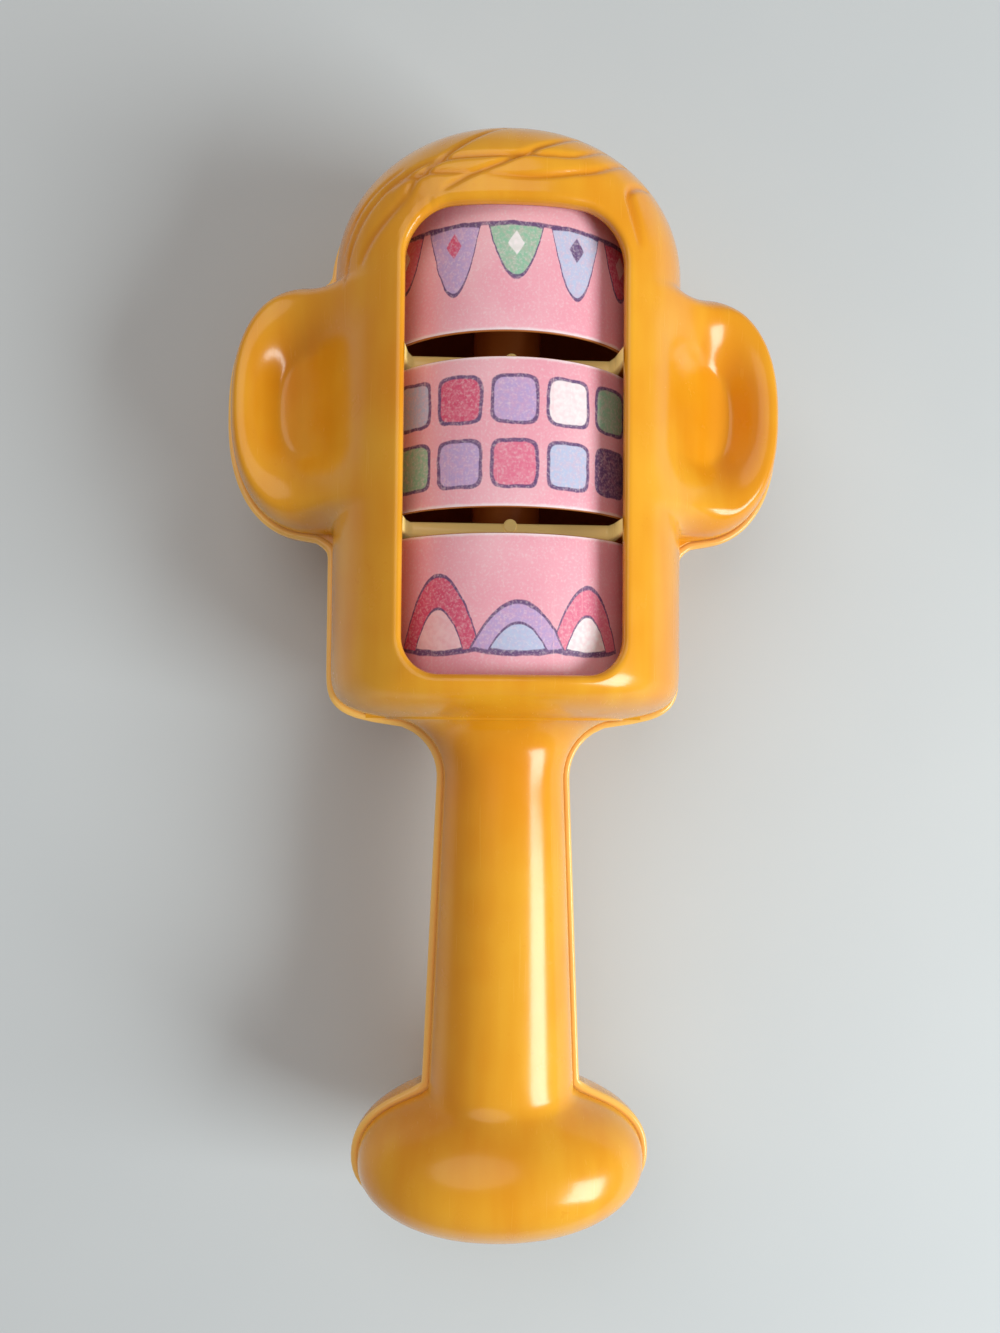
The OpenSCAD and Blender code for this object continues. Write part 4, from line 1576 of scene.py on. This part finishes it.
@dataclass(frozen=True)
class Drum:
    """A drum on its web and hub, and the printed sleeve round it."""

    form: ToyForm
    bay: Bay
    radius: float = 23.3
    length: float = 24.0
    wall: float = 1.6
    lip: float = 0.5
    mouth: float = 3.2
    web: float = 1.6
    web_depth: float = 2.0
    web_ledge: float = 0.9
    hub_r: float = 6.0
    hub_proud: float = 0.4
    bore_r: float = 2.55
    rim_round: float = 0.2
    bore_round: float = 0.25
    hub_round: float = 0.4
    web_round: float = 0.7
    mouth_round: float = 0.8
    curve_points: int = 5
    turns: int = 160
    label_r: float = 23.5
    glue_r: float = 23.32
    margin: float = 0.15
    label_edge: Profile = ((0.06, 0.0), (0.02, 0.03))
    label_rows: int = 9
    label_inset: float = 0.1
    label_turns: int = 180

    def turned(self, line: Array, count: int, start: float = 0.0) -> Array:
        """A profile of radius and height turned about the axle.

        Args:
            line: radii and heights above the drum's lower end.
            count: steps round.
            start: angle of the first column, from the front of the toy.

        Returns:
            Rows by columns by 3.
        """
        turn = start + np.linspace(0, 2 * np.pi, count + 1)
        x = line[:, :1] * np.sin(turn)[None]
        z = self.form.axle_z + line[:, :1] * np.cos(turn)[None]
        y = np.repeat(self.bay.foot + line[:, 1:], count + 1, axis=1)
        return np.stack([x, y, z], axis=-1)

    def rounded(self, corners: list[tuple[float, float, float]]) -> Array:
        """A closed profile with a quadratic curve at each corner, which starts and ends its rounding away.

        Args:
            corners: radius, height and rounding of each corner.

        Returns:
            Points of the closed profile.
        """
        at = np.array(corners)
        p, cut = at[:, :2], at[:, 2:]
        back, ahead = np.roll(p, 1, axis=0) - p, np.roll(p, -1, axis=0) - p
        a = p + back / np.linalg.norm(back, axis=1, keepdims=True) * cut
        b = p + ahead / np.linalg.norm(ahead, axis=1, keepdims=True) * cut
        t = np.linspace(0, 1, self.curve_points)[None, :, None]
        curve = a[:, None] * (1 - t) ** 2 + 2 * p[:, None] * t * (1 - t) + b[:, None] * t**2
        curve = curve.reshape(-1, 2)
        return np.vstack([curve, curve[:1]])

    def build_drum(self) -> Object:
        """Turns the drum's section, with rounded rims, about the axle.

        Returns:
            The object.
        """
        inner, lip = self.radius - self.wall, self.radius - self.lip
        web_top = self.length - self.web_depth
        web_foot = web_top - self.web
        low, high = -self.hub_proud, self.length + self.hub_proud
        corners = [
            (self.bore_r, low, self.bore_round), (self.hub_r, low, self.hub_round),
            (self.hub_r, web_foot, self.web_round), (inner, web_foot, self.web_round),
            (inner, self.mouth, self.mouth_round), (lip, 0, self.rim_round),
            (self.radius, 0, self.rim_round), (self.radius, self.length, self.rim_round),
            (lip, self.length, self.rim_round), (inner, web_top + self.web_ledge, self.hub_round),
            (inner, web_top, self.hub_round), (self.hub_r, web_top, self.web_round),
            (self.hub_r, high, self.hub_round), (self.bore_r, high, self.bore_round),
        ]
        sheet = MeshSheet()
        sheet.add(self.turned(self.rounded(corners), self.turns))
        return sheet.make(f"{self.bay.name.lower()}_drum_body")

    def build_label(self) -> Object:
        """Turns the sleeve's thin section about the axle, with a texture map that runs once round it.

        Returns:
            The object.
        """
        low, high = self.margin, self.length - self.margin
        rise = np.linspace(low + self.label_inset, high - self.label_inset, self.label_rows)
        outside = np.column_stack([np.full(self.label_rows, self.label_r), rise])
        foot = [[self.label_r - inset, low + up] for inset, up in self.label_edge]
        head = [[self.label_r - inset, high - down] for inset, down in self.label_edge[::-1]]
        glued = [self.glue_r, low]
        line = np.vstack([[glued], foot, outside, head, [[self.glue_r, high]], [glued]])
        across = np.linspace(-0.5, 0.5, self.label_turns + 1)
        along = np.clip((line[:, 1] - low) / (high - low), 0, 1)
        wrap = np.stack(np.broadcast_arrays(across[None], along[:, None]), axis=-1)
        sheet = MeshSheet()
        sheet.add(self.turned(line, self.label_turns, np.pi), wrap=wrap)
        return sheet.make(f"{self.bay.name.lower()}_label_sleeve")


@dataclass(frozen=True)
class Lamp:
    """A flat lamp that faces the toy: its direction, distance and size in metres, watts and colour."""

    name: str
    way: Colour
    far: float
    size: Pair
    power: float
    tint: Colour
    shape: str = "RECTANGLE"
    aim: Colour = (5.0, -50.0, 37.0)

    def build(self) -> None:
        """Hangs the lamp."""
        data = bpy.data.lights.new(self.name, "AREA")
        data.shape = self.shape
        data.size, data.size_y = self.size
        data.energy, data.color = self.power, self.tint
        made = bpy.data.objects.new(self.name, data)
        bpy.context.scene.collection.objects.link(made)
        made.location = Vector(self.way).normalized() * self.far + Vector(self.aim) * MM
        made.rotation_euler = Vector(self.way).to_track_quat("Z", "Y").to_euler()


@dataclass(frozen=True)
class Studio:
    """Floor, lights, and the camera at the photograph's angle."""

    eye: Colour = (-10.44, -2.33, 205.31)
    turn: Colour = (1.801, -3.097, 0.506)
    frame_high_px: float = 1333.0
    focal_px: float = 1000.0
    sensor: float = 36.0
    clip: Pair = (0.005, 50.0)
    lamps: tuple[Lamp, ...] = (
        Lamp("key", (0.772, -0.272, 0.577), 0.75, (0.42, 0.36), 5.7, (0.94, 1.0, 0.98)),
        Lamp("fill", (-0.3, 0.5, 0.9), 1.4, (1.3, 1.3), 5.6, (1.0, 0.92, 0.82), "DISK"),
    )
    world_tint: Paint = (0.98, 0.96, 0.94, 1.0)
    world_strength: float = 0.28
    floor_half: float = 3000.0
    floor_points: int = 5
    floor_drop: float = 0.05
    floor_scale: float = 14.0
    floor_tints: tuple[Paint, Paint] = (paint(200, 205, 210), paint(208, 212, 216))
    floor_rough: float = 0.75

    def camera(self) -> None:
        """Sets the camera: its place, its turn, and the focal length on the photograph's long side."""
        data = bpy.data.cameras.new("view")
        data.sensor_width = self.sensor
        data.lens = self.sensor * self.focal_px / self.frame_high_px
        data.clip_start, data.clip_end = self.clip
        made = bpy.data.objects.new("view", data)
        bpy.context.scene.collection.objects.link(made)
        tilt = [Matrix.Rotation(np.radians(a), 4, axis) for a, axis in zip(self.turn, "XYZ")]
        made.matrix_world = Matrix.Translation(Vector(self.eye) * MM) @ tilt[2] @ tilt[1] @ tilt[0]
        bpy.context.scene.camera = made

    def floor(self) -> None:
        """Lays the pale floor, a flat grid with a faint mottle in its paint."""
        side = np.linspace(-self.floor_half, self.floor_half, self.floor_points)
        x, y = np.meshgrid(side, side)
        sheet = MeshSheet()
        sheet.add(np.stack([x, y, np.full_like(x, -self.floor_drop)], axis=-1))
        made = sheet.make("floor")
        coat, nodes, shader = new_material("pale_floor")
        tone = nodes.noise(nodes.place(), self.floor_scale, 4.0)
        nodes.feed(shader.inputs["Base Color"], nodes.mix(tone, *self.floor_tints))
        shader.inputs["Roughness"].default_value = self.floor_rough
        made.data.materials.append(coat)

    def build(self) -> None:
        """Builds the floor, the camera, the lamps and the world."""
        self.floor()
        self.camera()
        for lamp in self.lamps:
            lamp.build()
        world = bpy.data.worlds.new("room")
        bpy.context.scene.world = world
        world.use_nodes = True
        world.node_tree.nodes["Background"].inputs["Color"].default_value = self.world_tint
        world.node_tree.nodes["Background"].inputs["Strength"].default_value = self.world_strength
        bpy.context.scene.view_settings.view_transform = "Standard"


def dress(piece: Object, finish: Material, body: str, node: str) -> None:
    """Gives a piece its finish, its body and the CAD node that it stands for.

    Args:
        piece: the object.
        finish: its material.
        body: the CAD body that it rides on.
        node: the CAD node that it replaces.
    """
    piece.data.materials.append(finish)
    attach(piece, body)
    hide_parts(node)
    LOG.info("%s: %d faces on %s, for %s", piece.name, len(piece.data.polygons), body, node)


def refinish(node: str, finish: Material) -> None:
    """Gives a CAD node that stays its finish.

    Args:
        node: the CAD node.
        finish: its material.
    """
    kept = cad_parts[node]
    if not kept.material_slots:
        kept.data.materials.append(finish)
    for place in kept.material_slots:
        place.material = finish
    LOG.info("%s: CAD node kept", node)


def main() -> None:
    """Builds the toy's pieces in order, then the studio."""
    logging.basicConfig(level=logging.INFO, format="%(message)s")
    form = ToyForm()
    finishes = Finishes.build(Effects())
    dress(BackShell(form).build(), finishes.shell, "shell", "back_shell")
    dress(FrontShell(form).build(), finishes.shell, "shell", "front_shell")
    for bay in Bay:
        drum = Drum(form, bay)
        name = bay.name.lower()
        dress(drum.build_drum(), finishes.drum, bay.body, f"{name}_drum")
        dress(drum.build_label(), finishes.labels[bay.name], bay.body, f"{name}_label")
    refinish("axle", finishes.axle)
    refinish("rattle_pellets", finishes.pellet)
    Studio().build()
    bpy.context.view_layer.update()


if __name__ == "__main__":
    main()
